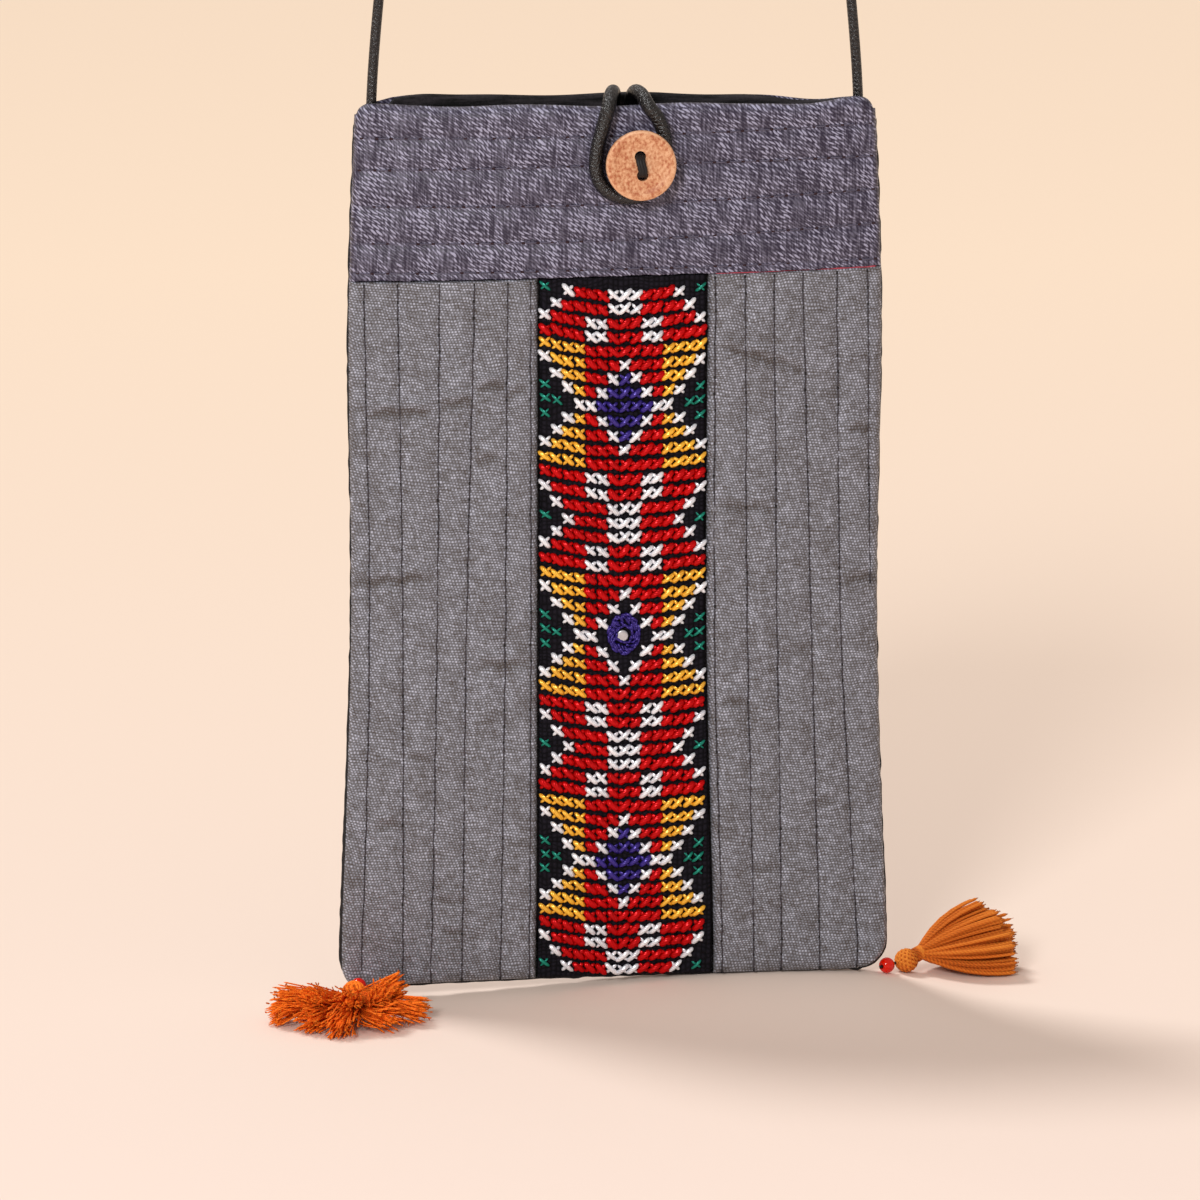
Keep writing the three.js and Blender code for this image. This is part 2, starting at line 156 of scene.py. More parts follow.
# How square a quilted rib's section is, and how steeply the ribs at a wall's edges fall away
RIB_SQUARE, RIB_FALL = 2.6, 1.7

# The slow unevenness of the cloth: how many waves, how close they come, and how high on panels and bands
RIPPLE_WAVES, RIPPLE_REACH = 7, 0.35
PANEL_RIPPLE, BAND_RIPPLE = 0.12, 0.22

# Over how far the walls' edges roll in, and how many times as fast at a panel's foot and by the band's hem
PANEL_ROLL, BAND_ROLL, STRIP_ROLL = 1.6, 1.5, 0.7
FOOT_ROLL, TOP_ROLL = 0.45, 5.0
# How far the band's hem hangs over the panels
BAND_HEM = 0.36

# Columns and rows of the walls' meshes, and sides and rows of the cords'
RIB_COLUMNS, PANEL_ROWS = 10, 260
BAND_GRID, STRIP_GRID, LINING_GRID = (170, 60), (36, 160), (120, 90)
STRAP_GRID, LOOP_GRID, SEAM_GRID = (14, 900), (18, 260), (8, 480)

# How the band's upper edge goes: how deep it waves, and x, width and height of each rise and dip
WAVE_DEEP = 6.4
MOUTH_RISE, MOUTH_DIP, MOUTH_OPEN = (51, 5, 0.6), (42, 8, 0.8), (-43, 7, 0.9)
RIM_CORNER = {"from": 52.2, "over": 3.2, "drop": 2.4}

# Sewing: a row's length and its margin, and the thread that shows in each needle hole
QUILT_ROW, QUILT_MARGIN, QUILT_DOT = 156, 0.9, 0.8
BAND_ROW, BAND_MARGIN, BAND_DOT = 113, 1.6, 0.95
STITCH_WANDER, STITCH_GAP, STITCH_PROUD = 0.15, 0.05, 0.42
HOLE_SUNK, DOT_WIDE, DOT_TALL = 0.02, 1.75, 1.3

# The cross-stitch chart of the strip: half a repeat, mirrored to and fro down its rows
CHART = (
    "G.WRRRWWWRRRW.G",
    ".WRRRRWWWRRRRW.",
    "WRRRWWRRRWWRRRW",
    "RRRRWWRRRWWRRRR",
    "YYYYRRRRRRRYYYY",
    "WYYYRRRWRRRYYYW",
    ".WYYRRWBWRRYYW.",
    "G.WYRWBBBWRYW.G",
    "GG.WWBBBBBWW.GG",
)
CHART_ROWS = 49
# Each row's height, where the rows draw together or apart
CHART_LINES = ((0, 153.55), (3, 144.3), (8, 129.2), (12, 116.4), (24, 78.3), (48, 2.6))
CHART_MIDDLE, COLUMN_PITCH, CHART_BULGE = 0.95, 2.39, 0.42
CHART_HALF = 7
# How far a row lifts over its outer columns: on the left, and on the right at the top and the bottom
CHART_SIDE, LEFT_LIFT, RIGHT_LIFT = 5, 2.2, (1.3, 0.6)
CROSS_HALF, CROSS_OUT, CROSS_FLAT = (1.14, 1.06), 0.12, 0.72
# Each leg's slant, how far its middle stands out, its length and its fullness
CROSS_LEGS = ((-1, 0.5, 0.9, 0.84), (1, 1.35, 1.12, 1.2))
# Each floss's cross over the full size, and its fullness
FLOSS = {"R": (1.06, 1.18), "W": (1.1, 0.93), "Y": (1.08, 0.88), "G": (0.95, 0.56), "B": (1.06, 0.9)}
RING_ROWS = range(22, 27)

# The ring sewn round the mirror, and the mirror
RING = {
    "across": 1.3,
    "up": 79.1,
    "inner": 1.7,
    "wide": 3.6,
    "tall": 4.5,
    "stitches": 24,
    "foot": 0.3,
    "proud": 1.1,
    "fullness": 0.26,
    # how far out each round starts, how many stitches it passes, and how far outwards it goes
    "rounds": (
        (0.05, 2.4, 0.05),
        (0.3, 1.2, 0.45),
        (0.95, -1.4, -0.5),
        (0.6, 1.6, 0.3),
        (0.9, 1.8, 0.0),
    ),
}
MIRROR = {"across": 0.9, "up": 78.7, "radius": 1.25, "thick": 0.5}

# The strap, the button with its thread, and the loop
STRAP = {"radius": 1.1, "foot": 52.3, "socket": 7.5, "arch": 10.0, "lean": 5.0}
BUTTON = {"across": 4.3, "up": 182.4, "radius": 7.5, "back": 12.4, "thick": 2.3}
BUTTON_HOLE = {"shift": -0.25, "apart": 2.05, "radius": 1.2}
# Width of the pale ring round the button's rim: a painted highlight
BUTTON_RIM_HIGHLIGHT = 0.4
BUTTON_THREAD = {"radius": 0.5, "from": 9.1, "bend": 14.2, "front": 15.3, "turn": 0.9, "spread": 0.52}
LOOP_RADIUS = 1.55
# across, out, up
LOOP_ROUTE = (
    (-0.4, 1.6, 188.5),
    (-0.4, 1.6, 193.6),
    (-0.5, -1.2, 196.3),
    (-1.5, -6.8, 196.6),
    (-2.4, -10.4, 194.4),
    (-3.5, -10.6, 190.6),
    (-4.8, -10.6, 185.3),
    (-5.0, -10.6, 181.0),
    (-3.5, -10.6, 177.4),
    (-0.3, -10.6, 175.4),
    (3.5, -10.6, 175.2),
    (7.0, -10.6, 177.4),
    (8.9, -10.6, 181.3),
    (9.7, -10.6, 185.1),
    (9.5, -10.6, 188.4),
    (8.2, -10.6, 191.9),
    (6.3, -10.4, 194.4),
    (5.0, -6.8, 196.6),
    (3.9, -1.2, 196.3),
    (3.6, 1.6, 193.6),
    (3.6, 1.6, 188.5),
)

# The black seam's radius, by the share of its way down the left side, along the bottom and up the right
SEAM_WIDTHS = (
    (0.0, 0.16),
    (0.1, 0.3),
    (0.2, 0.26),
    (0.33, 0.5),
    (0.41, 0.6),
    (0.5, 0.4),
    (0.62, 0.3),
    (0.75, 0.16),
    (1.0, 0.16),
)

# The red edging's radius, by the share of its way out to the right side
EDGING_WIDTHS = (
    (0.0, 0.1),
    (0.15, 0.17),
    (0.35, 0.13),
    (0.5, 0.05),
    (0.62, 0.14),
    (0.8, 0.3),
    (1.0, 0.26),
)
EDGING_FROM, EDGING_TO, EDGING_DROP, EDGING_OUT = 20.8, 56.4, 0.3, 0.86

# The stitches whipped over the seam: one to every so much, how far each goes ahead, in and to each side
OVERCAST = {"every": 4.3, "ahead": 1.6, "inward": 0.6, "aside": 1.3, "radius": 0.17, "margin": 2.0}

# The lining's pouch inside the walls
LINING_SIDE = 6.0
LINING_FLOOR = 9.0
LINING_DEEP = 15.0
LINING_ROLL = 0.7
LINING_LEAST = 0.15
# x, width and height of the slack place at the back, and how slack the front is
RIM_SLACK, FRONT_SLACK = (38, 6, 1), 2.0

# The tassels: bead, ball and neck, then each lock's turn, rise, length and width
BEAD = {"radius": 1.75, "hole": 0.65}
TASSEL_THREAD = {"radius": 0.35, "spare": 0.5}
BALL_RADIUS = 2.7
NECK_RADIUS = 1.7
LOCK_ROOT = 1.5
WINDING = 0.3
BALL_TURNS = 8
NECK_TURNS = 5
FIBRE = 0.075
CORE_REACH = 0.9
CORE_WIDTH = 0.5
LOCK_FLAT = 0.8
FLOOR_GAP = 0.15
TASSELS = {
    "left": {
        "bead": (-56.8, -5.6, 0.9),
        "ball": (-58.0, -10.0, 0.6),
        "neck": (-58.9, -13.6, 0.4),
        "tangle": 1.0,
        "fineness": 0.45,
        "bell": 0.0,
        "frayed": 7,
        "frays_from": 0.15,
        "locks": (
            (195, -4, 19.5, 2.9),
            (203, 7, 18.0, 2.8),
            (231, -6, 18.5, 2.8),
            (259, -5, 19.0, 3.0),
            (297, -5, 18.0, 2.9),
            (334, -4, 18.0, 2.9),
            (225, 12, 15.5, 2.6),
            (266, 12, 16.0, 2.8),
            (304, 13, 15.0, 2.7),
            (340, 16, 12.5, 2.5),
        ),
    },
    "right": {
        "bead": (60.3, 0.3, 1.1),
        "ball": (65.1, 3.6, 1.2),
        "neck": (68.6, 5.7, 2.4),
        "tangle": 0.12,
        "fineness": 1.0,
        "bell": 0.42,
        "frayed": 6,
        "frays_from": 0.96,
        "locks": (
            (23, -11, 24.0, 2.7),
            (9, -9, 22.5, 2.6),
            (37, -9, 22.5, 2.6),
            (3, 4, 21.5, 2.6),
            (43, 4, 21.5, 2.6),
            (23, 5, 24.0, 3.0),
            (12, 18, 20.0, 2.7),
            (33, 18, 20.0, 2.7),
            (23, 26, 18.5, 2.5),
        ),
    },
}
FLOOR_UP = CAD_BOUNDS[0][2] / MM + HANG - 0.1
FLOOR_FINE, FLOOR_WIDE = 300, 8000
# across, and how far the floor there rises to the bag's bottom edge
FLOOR_RISE = (
    (-70, 0),
    (-48, 0),
    (-15, 0.5),
    (18, 1),
    (46, 1),
    (58, 0.78),
    (66, 0.5),
    (80, 0.08),
    (95, 0),
)
FLOOR_RISE_DEEP = 28.0
SEAM_LOW = 0.45

# The photograph's view
CAMERA_TARGET = (-3.3, 0.0, 85.0)
CAMERA_AZIMUTH, CAMERA_ELEVATION = -5.0, 12.5
CAMERA_DISTANCE = 1.5

# The soft light in front, and the key light high behind, as places in millimetres
FRONT_LIGHT = (-700, -1750, 1050)
FRONT_LIGHT_SIZE = 0.55
KEY_LIGHT = (-840, 740, 2060)
KEY_SOFTNESS = 14.0
LIGHT_TARGET = (0, 0, 60)


# Readings of the tables and the bag's form


def reader(table):
    """A smooth reading of a table by its first column, with its other columns as the last axis."""
    table = np.array(table, float)
    places, values = table[:, 0], table[:, 1:]
    steps = np.diff(places)[:, None]
    slopes = np.diff(values, axis=0) / steps
    tangents = np.vstack([slopes[:1], (slopes[1:] + slopes[:-1]) / 2, slopes[-1:]])

    def read(at):
        at = np.clip(np.asarray(at, float), places[0], places[-1])
        i = np.clip(np.searchsorted(places, at, side="right") - 1, 0, len(slopes) - 1)
        step = steps[i]
        p = (at - places[i])[..., None] / step
        return (
            values[i] * (1 + 2 * p) * (1 - p) ** 2
            + tangents[i] * step * p * (1 - p) ** 2
            + values[i + 1] * p**2 * (3 - 2 * p)
            + tangents[i + 1] * step * p**2 * (p - 1)
        )

    return read


body_at = reader(BODY)
left_lines_at = reader(LEFT_LINES)
right_lines_at = reader(RIGHT_LINES)
band_rows_at = reader(BAND_ROWS)
chart_rows_at = reader(CHART_LINES)
floor_rise_at = reader(FLOOR_RISE)


def lerp(start, end, share):
    """The value at a share of the way from start to end."""
    return start + (end - start) * share


def swell(x, middle, width, height):
    """A rounded rise."""
    return height * np.exp(-(((x - middle) / width) ** 2))


def placed(x, out, up):
    """Points of the bag, in millimetres, as places in the frame."""
    x, out, up = np.broadcast_arrays(x, out, up)
    return np.stack([x, out, up - HANG], axis=-1) * MM


def unit(vectors):
    """Vectors of the same directions, each one long."""
    return vectors / np.linalg.norm(vectors, axis=-1, keepdims=True)


def sides_at(up):
    """Where the two side seams stand at a height, the left one first."""
    body = body_at(up)
    insets = []
    for corner in (-CORNER_AT, CORNER_AT):
        above = np.clip(up - bottom_edge(corner), 0, CORNER)
        insets.append(CORNER - np.sqrt(CORNER**2 - (CORNER - above) ** 2))
    return insets[0] - body[..., 0], body[..., 1] - insets[1]


def hollow(x, up, side):
    """The hollow's depth in front of or behind the plane of the seams."""
    body = body_at(up)
    half = np.where(x < 0, body[..., 0], body[..., 1])
    fullness = body[..., 2] if side == FRONT else body[..., 3]
    return GAP / 2 + fullness * (1 - np.minimum(1, np.abs(x) / half) ** ROUNDNESS)


def bottom_edge(x):
    """The bag's lower edge, which sags to its left corner."""
    return BOTTOM + BOTTOM_SLOPE * x - BOTTOM_SAG * np.clip((SAG_FROM - x) / SAG_OVER, 0, 1) ** 1.5


def panel_top(x):
    """The panels' upper edge, just under the band."""
    return band_rows_at(x)[..., 0] - GAP


def left_seams(up):
    """The left panel's seams at a height, from its side to its edge over the strip."""
    side = sides_at(up)[0][..., None]
    return np.concatenate([side, np.maximum(left_lines_at(up), side + LINE_MARGIN)], axis=-1)


def right_seams(up):
    """The right panel's seams at a height, from its edge over the strip to its side."""
    side = sides_at(up)[1][..., None]
    return np.concatenate([np.minimum(right_lines_at(up), side - LINE_MARGIN), side], axis=-1)


def back_seams(up):
    """The back panel's seams at a height, evenly spaced."""
    left, right = sides_at(up)
    return lerp(left[..., None], right[..., None], np.linspace(0, 1, BACK_CHANNELS + 1))


def strip_seams(up):
    """The strip's two edges at a height, under the panels' edges."""
    return np.stack([left_lines_at(up)[..., -1] + GAP, right_lines_at(up)[..., 0] - GAP], axis=-1)


def ripple(x, up, seed):
    """A slow unevenness of hand-sewn cloth, between about -1 and 1."""
    rng = np.random.default_rng(seed)
    total = 0
    for _ in range(RIPPLE_WAVES):
        across, along = rng.uniform(-RIPPLE_REACH, RIPPLE_REACH, 2)
        total = total + np.sin(across * x + along * up + rng.uniform(0, 2 * math.pi))
    return total / (RIPPLE_WAVES / 2)


def creased(x, up, creases):
    """How deep the creases dent the cloth."""
    dent = 0
    for start, end, up_start, up_end, depth in creases:
        share = (x - start) / (end - start)
        line = lerp(up_start, up_end, share) + 0.25 * np.sin(1.1 * x)
        window = np.clip(4 * share * (1 - share), 0, 1) ** 0.5
        off = (up - line) / CREASE_WIDTH
        dent = dent + depth * window * (swell(off, 0, 1, 1) - swell(off, *CREASE_LIP))
    return CREASE_DEPTH * dent


# Meshes


def mark_crease_shade(mesh, creases):
    """Marks on a panel's points how deep in a crease they lie, for the painted brown shade that its
    material lays in the creases.
    """
    places = np.empty(3 * len(mesh.vertices))
    mesh.vertices.foreach_get("co", places)
    x, _, up = places.reshape(-1, 3).T / MM
    marks = mesh.attributes.new("crease", "FLOAT", "POINT")
    marks.data.foreach_set("value", np.clip(creased(x, up + HANG, creases) / CREASE_SHADE_FULL, 0, 1))


def laid_mesh(faces):
    """A mesh of grids, each (columns, rows, place), laid out by place(u, v) and sewn where they meet."""
    bm = bmesh.new()
    bm.loops.layers.uv.new("cloth")
    for columns, rows, place in faces:
        made = bmesh.ops.create_grid(bm, x_segments=columns, y_segments=rows, size=0.5, calc_uvs=True)
        flat = np.array([vert.co for vert in made["verts"]], float) + 0.5
        u, v = (np.rint(flat[:, axis] * count) / count for axis, count in ((0, columns), (1, rows)))
        for vert, point in zip(made["verts"], place(u, v)):
            vert.co = point
    bmesh.ops.remove_doubles(bm, verts=bm.verts, dist=WELD)
    bmesh.ops.dissolve_degenerate(bm, edges=bm.edges, dist=WELD)
    return finished_mesh(bm)


def finished_mesh(bm):
    """A smooth mesh whose faces all look outwards."""
    bmesh.ops.recalc_face_normals(bm, faces=bm.faces)
    if bm.calc_volume(signed=True) < 0:
        bmesh.ops.reverse_faces(bm, faces=bm.faces)
    mesh = bpy.data.meshes.new("made")
    bm.to_mesh(mesh)
    bm.free()
    mesh.shade_smooth()
    return mesh


def eased(share, amount):
    """Draws a row of stops together towards both its ends."""
    return lerp(share, 0.5 - 0.5 * np.cos(math.pi * share), amount)


def wall_mesh(side, columns, rows, spread, cloth, roll):
    """A closed piece of cloth: an outer face, rolled over at its edges, sewn to an inner face.
    spread(u, v) gives each point's x, up, lift and distance from the nearest edge."""

    def outer(u, v):
        x, up, lift, edge = spread(u, v)
        turned = np.sqrt(1 - (1 - np.clip(edge / roll, 0, 1)) ** 2)
        deep = wall_hollow(x, up, side)
        return placed(x, side * (deep + (cloth + lift) * turned), up)

    def inner(u, v):
        x, up, _, _ = spread(u, v)
        return placed(x, side * wall_hollow(x, up, side), up)

    return laid_mesh([(columns, rows, outer), (columns, rows, inner)])


def wall_hollow(x, up, side):
    """The hollow inside the walls, with the socket for each end of the strap."""
    radius = STRAP["radius"] + GAP
    off = np.abs(np.abs(x) - STRAP["foot"])
    socket = np.sqrt(np.maximum(0, radius**2 - off**2)) * (up > MOUTH - STRAP["socket"] - GAP)
    return np.maximum(hollow(x, up, side), socket)


def rib_crown(share):
    """A rib's rounded section between two seams."""
    return 1 - np.abs(2 * share - 1) ** RIB_SQUARE


def ribs_of(t, ribs):
    """Which rib a place falls in, and how far across that rib."""
    rib = np.clip(np.floor(t * ribs).astype(int), 0, ribs - 1)
    share = np.clip(t * ribs - rib, 0, 1)
    share = np.where(rib == 0, share**RIB_FALL, share)
    return rib, np.where(rib == ribs - 1, 1 - (1 - share) ** RIB_FALL, share)


def picked(table, index):
    """From each row of a table, the value at that row's own index."""
    return np.take_along_axis(table, index[..., None], axis=-1)[..., 0]


def panel_level(v):
    """The height at a panel's middle for a share of its way up."""
    return lerp(BOTTOM, panel_top(0.0), v)


def panel_spread(seams_at, ribs, puff, creases, seed):
    """The lay of a wall whose seams run upwards."""

    def spread(u, v):
        v = eased(v, 0.8)
        seams = seams_at(panel_level(v))
        rib, share = ribs_of(u, ribs)
        start, end = picked(seams, rib), picked(seams, rib + 1)
        x = lerp(start, end, share)
        foot, top = bottom_edge(x), panel_top(x)
        up = lerp(foot, top, v)
        lift = puff * (end - start) * rib_crown(share) + PANEL_RIPPLE * ripple(x, up, seed)
        lift = lift - creased(x, up, creases) * rib_crown(share)
        edges = (x - seams[..., 0], seams[..., -1] - x, FOOT_ROLL * (up - foot), TOP_ROLL * (top - up))
        return x, up, lift, np.minimum.reduce(edges)

    return spread


def band_spread(puff, side):
    """The lay of a half of the mouth band, whose seams run across."""

    def spread(u, v):
        u = eased(u, 0.6)
        rim_left, rim_right = sides_at(np.float64(MOUTH))
        rows = band_rows_at(lerp(rim_left, rim_right, u))
        hem = BAND_HEM + 0.06 * np.sin(190 * u) + 0.05 * np.sin(67 * u)
        rows = np.concatenate(
            [rows[..., :1] - hem[..., None], rows[..., 1:], np.full_like(rows[..., :1], MOUTH)], axis=-1
        )
        rib, share = ribs_of(v, rows.shape[-1] - 1)
        start, end = picked(rows, rib), picked(rows, rib + 1)
        up = lerp(start, end, share)
        left, right = sides_at(up)
        x = lerp(left, right, u)
        uneven = BAND_RIPPLE * ripple(2.6 * x, 0.6 * up, 5 + side)
        lift = puff * (end - start) * rib_crown(share) + uneven
        edges = (x - left, right - x, TOP_ROLL * (up - rows[..., 0]), rows[..., -1] - up)
        edge = np.minimum.reduce(edges)
        up = up + mouth_wave(x, side) * np.clip((up - (MOUTH - WAVE_DEEP)) / WAVE_DEEP, 0, 1)
        return x, up, lift, edge

    return spread


def mouth_wave(x, side):
    """How the band's upper edge rises, falls and rounds off at its corners."""
    past = np.clip((np.abs(x) - RIM_CORNER["from"]) / RIM_CORNER["over"], 0, 1)
    wave = swell(x, *MOUTH_RISE) - swell(x, *MOUTH_DIP) - RIM_CORNER["drop"] * (1 - np.sqrt(1 - past**2))
    wave = wave + 0.25 * np.sin(0.19 * x + side)
    if side == FRONT:
        return wave
    agape = 0.8 * np.clip((50 - x) / 40, 0, 1) * np.clip((x + 53) / 5, 0, 1)
    return wave + swell(x, *MOUTH_OPEN) + agape


def lengths_along(route):
    """How far along a route each of its points lies."""
    return np.concatenate([[0], np.cumsum(np.linalg.norm(np.diff(route, axis=0), axis=1))])


def circled(angle, across, over):
    """Directions round a circle, by their angles."""
    return np.cos(angle)[:, None] * across + np.sin(angle)[:, None] * over


def bent(starts, bends, ends, s):
    """Points on curves that bend once, at a share of their way."""
    return (1 - s) ** 2 * starts + 2 * s * (1 - s) * bends + s**2 * ends


def tube_mesh(route, radius, sides, rows):
    """A round cord along a route of points, in millimetres, closed at both ends. Its radius is one
    number, or a table of them by the share of its length."""
    route = np.array(route, float)
    lengths = lengths_along(route)
    stops = np.linspace(0, lengths[-1], rows + 1)
    centres = reader(np.column_stack([lengths, route]))(stops)
    along = unit(np.gradient(centres, axis=0))
    across = np.zeros_like(along)
    hint = np.array([0.0, 1.0, 0.0]) if abs(along[0][1]) < 0.9 else np.array([1.0, 0.0, 0.0])
    for i, ahead in enumerate(along):
        across[i] = unit(np.cross(hint, ahead))
        hint = np.cross(ahead, across[i])
    over = np.cross(along, across)
    shares = np.linspace(0, 1, rows + 1)
    widths = np.full(rows + 1, radius) if np.isscalar(radius) else reader(radius)(shares)[:, 0]

    def place(u, v):
        ring = np.rint(v * rows).astype(int)
        wide = np.where((ring == 0) | (ring == rows), 0, widths[ring])
        angle = 2 * math.pi * np.where(u > 1 - WELD, 0, u)
        offset = circled(angle, across[ring], over[ring])
        return placed(*(centres[ring] + offset * wide[:, None]).T)

    mesh = laid_mesh([(sides, rows, place)])
    uv = np.empty(2 * len(mesh.loops))
    mesh.uv_layers[0].data.foreach_get("uv", uv)
    along_uv = lengths[-1] / STRAND_LENGTH
    mesh.uv_layers[0].data.foreach_set("uv", (uv.reshape(-1, 2) * (1, along_uv)).ravel())
    return mesh


def strand_form(sides, rings, tip, waist=0.0):
    """One strand of unit length and radius, with its UV map, for copying. tip is how soon it fills out,
    and waist how much thinner its middle is."""

    def place(u, v):
        angle = 2 * math.pi * np.where(u > 1 - WELD, 0, u)
        v = eased(v, 1.0)
        middle = 4 * v * (1 - v)
        wide = np.clip(middle / tip, 0, 1) ** 0.5 * (1 - waist * middle)
        return np.stack([wide * np.cos(angle), wide * np.sin(angle), v], axis=-1)

    mesh = laid_mesh([(sides, rings, place)])
    points = np.array([vert.co for vert in mesh.vertices])
    faces = [list(face.vertices) for face in mesh.polygons]
    uv = np.empty(2 * len(mesh.loops))
    mesh.uv_layers[0].data.foreach_get("uv", uv)
    uv[1::2] = eased(uv[1::2], 1.0)
    bpy.data.meshes.remove(mesh)
    return {"points": points, "faces": faces, "uv": uv}


def strands_mesh(form, starts, bends, ends, wide, tall, facing, shade):
    """Copies of a strand along quadratic curves, in millimetres, as one mesh with a shade for each."""
    starts, bends, ends = (np.asarray(points, float)[:, None] for points in (starts, bends, ends))
    count = len(starts)
    s = form["points"][:, 2][None, :, None]
    centre = bent(starts, bends, ends, s)
    along = unit((1 - s) * (bends - starts) + s * (ends - bends) + 1e-9)
    facing = np.broadcast_to(np.asarray(facing, float), (count, 3))[:, None]
    across = unit(np.cross(along, facing))
    over = np.cross(across, along)
    wide = np.broadcast_to(wide, count)[:, None, None]
    tall = np.broadcast_to(tall, count)[:, None, None]
    spread = form["points"][None, :, :, None]
    points = centre + across * wide * spread[:, :, 0] + over * tall * spread[:, :, 1]
    size = len(form["points"])
    faces = [[i + k * size for i in face] for k in range(count) for face in form["faces"]]
    mesh = bpy.data.meshes.new("strands")
    mesh.from_pydata(placed(*points.reshape(-1, 3).T), [], faces)
    mesh.uv_layers.new(name="cloth").data.foreach_set("uv", np.tile(form["uv"], count))
    shades = mesh.attributes.new("shade", "FLOAT", "POINT")
    shades.data.foreach_set("value", np.repeat(np.broadcast_to(shade, count), size))
    return joined([mesh])


def joined(meshes):
    """Several meshes as one, their places kept."""
    bm = bmesh.new()
    for mesh in meshes:
        bm.from_mesh(mesh)
        bpy.data.meshes.remove(mesh)
    return finished_mesh(bm)


def round_profile(radius, reach, count):
    """A ball's profile for spinning, as far as an angle to both sides of its waist."""
    angles = np.linspace(-reach, reach, count)
    return [(radius * math.cos(angle), radius * math.sin(angle)) for angle in angles]


def spun_mesh(profile, axis, centre, steps):
    """A profile of (radius, height) spun round an axis through a centre, in millimetres."""
    bm = bmesh.new()
    bm.loops.layers.uv.new("cloth")
    axis = Vector(axis).normalized()
    out = axis.orthogonal().normalized()
    middle = Vector(placed(*centre))
    points = [middle + (out * radius + axis * height) * MM for radius, height in profile]
    verts = [bm.verts.new(point) for point in points]
    edges = [bm.edges.new(pair) for pair in zip(verts, verts[1:])]
    bmesh.ops.spin(
        bm,
        geom=verts + edges,
        cent=middle,
        axis=axis,
        angle=2 * math.pi,
        steps=steps,
        use_merge=True,
    )
    bmesh.ops.remove_doubles(bm, verts=bm.verts, dist=WELD)
    return finished_mesh(bm)


def bag_piece(name, mesh, material, slot, *nodes):
    """Puts a finished mesh on the bag's body, standing for its solids."""
    mesh.name = name
    mesh.materials.append(material)
    made = bpy.data.objects.new(name, mesh)
    bpy.context.scene.collection.objects.link(made)
    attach(made, "root")
    if nodes:
        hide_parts(*nodes)
    return made


# Materials


def linear(colour):
    """A hex sRGB colour as linear red, green and blue."""
    parts = [int(colour[i : i + 2], 16) / 255 for i in (1, 3, 5)]
    return tuple(p / 12.92 if p <= 0.04045 else ((p + 0.055) / 1.055) ** 2.4 for p in parts)


def add_node(tree, kind, settings, inputs):
    """Adds a node with its own settings; each input is a value, or the socket that feeds it."""
    node = tree.nodes.new(kind)
    for name, value in settings.items():
        setattr(node, name, value)
    for name, value in inputs.items():
        if isinstance(value, bpy.types.NodeSocket):
            tree.links.new(value, node.inputs[name])
        else:
            node.inputs[name].default_value = value
    return node


def new_material(name, constants):
    """A material with one shader, whose constant inputs are set on it, and its node tree."""
    made = bpy.data.materials.new(name)
    made.use_nodes = True
    tree = made.node_tree
    tree.nodes.clear()
    shader = add_node(tree, "ShaderNodeBsdfPrincipled", {}, constants)
    add_node(tree, "ShaderNodeOutputMaterial", {}, {"Surface": shader.outputs["BSDF"]})
    return made, tree, shader


def maths(tree, operation, *values):
    """One sum of the node tree, as a socket."""
    return add_node(tree, "ShaderNodeMath", {"operation": operation}, dict(enumerate(values))).outputs[0]


def noise(tree, vector, size_mm, turn=0.0, detail=2.0):
    """Noise on object coordinates with features of a real size, one for all axes or one for each.
    turn leans them, in degrees, across the bag's front."""
    settings = {
        "Vector": vector,
        "Rotation": (0, math.radians(turn), 0),
        "Scale": np.broadcast_to(size_mm, 3) * MM,
    }
    mapped = add_node(tree, "ShaderNodeMapping", {"vector_type": "TEXTURE"}, settings)
    grain = {"Vector": mapped.outputs[0], "Scale": 1.0, "Detail": detail}
    return add_node(tree, "ShaderNodeTexNoise", {}, grain).outputs["Fac"]


def weighed(tree, base, *parts):
    """The sum of a base and of each (value, usual value, weight), for a blend of colours."""
    total = base
    for value, usual, weight in parts:
        total = maths(tree, "MULTIPLY_ADD", maths(tree, "SUBTRACT", value, usual), weight, total)
    return total


def tinted(tree, factor, *colours):
    """A blend of colours by a factor from 0 to 1."""
    ramp = add_node(tree, "ShaderNodeValToRGB", {}, {"Fac": factor})
    for extra in range(len(colours) - 2):
        ramp.color_ramp.elements.new((extra + 1) / (len(colours) - 1))
    for i, colour in enumerate(colours):
        ramp.color_ramp.elements[i].position = i / (len(colours) - 1)
        ramp.color_ramp.elements[i].color = (*colour, 1)
    return ramp.outputs["Color"]


def scaled(colour, *amounts):
    """A colour times one number, or times one for each of red, green and blue."""
    return tuple(min(1.0, part * amount) for part, amount in zip(colour, np.broadcast_to(amounts, 3)))


def object_place(tree):
    """Where on the bag a point of a surface lies."""
    return add_node(tree, "ShaderNodeTexCoord", {}, {}).outputs["Object"]


def strand_place(tree):
    """Where on a strand a point lies: how far round it, and how far along."""
    uv = add_node(tree, "ShaderNodeUVMap", {"uv_map": "cloth"}, {}).outputs["UV"]
    parts = add_node(tree, "ShaderNodeSeparateXYZ", {}, {"Vector": uv})
    return parts.outputs["X"], parts.outputs["Y"]


def marked(tree, name):
    """What a mesh's own attribute says at a point."""
    return add_node(tree, "ShaderNodeAttribute", {"attribute_name": name}, {}).outputs["Fac"]


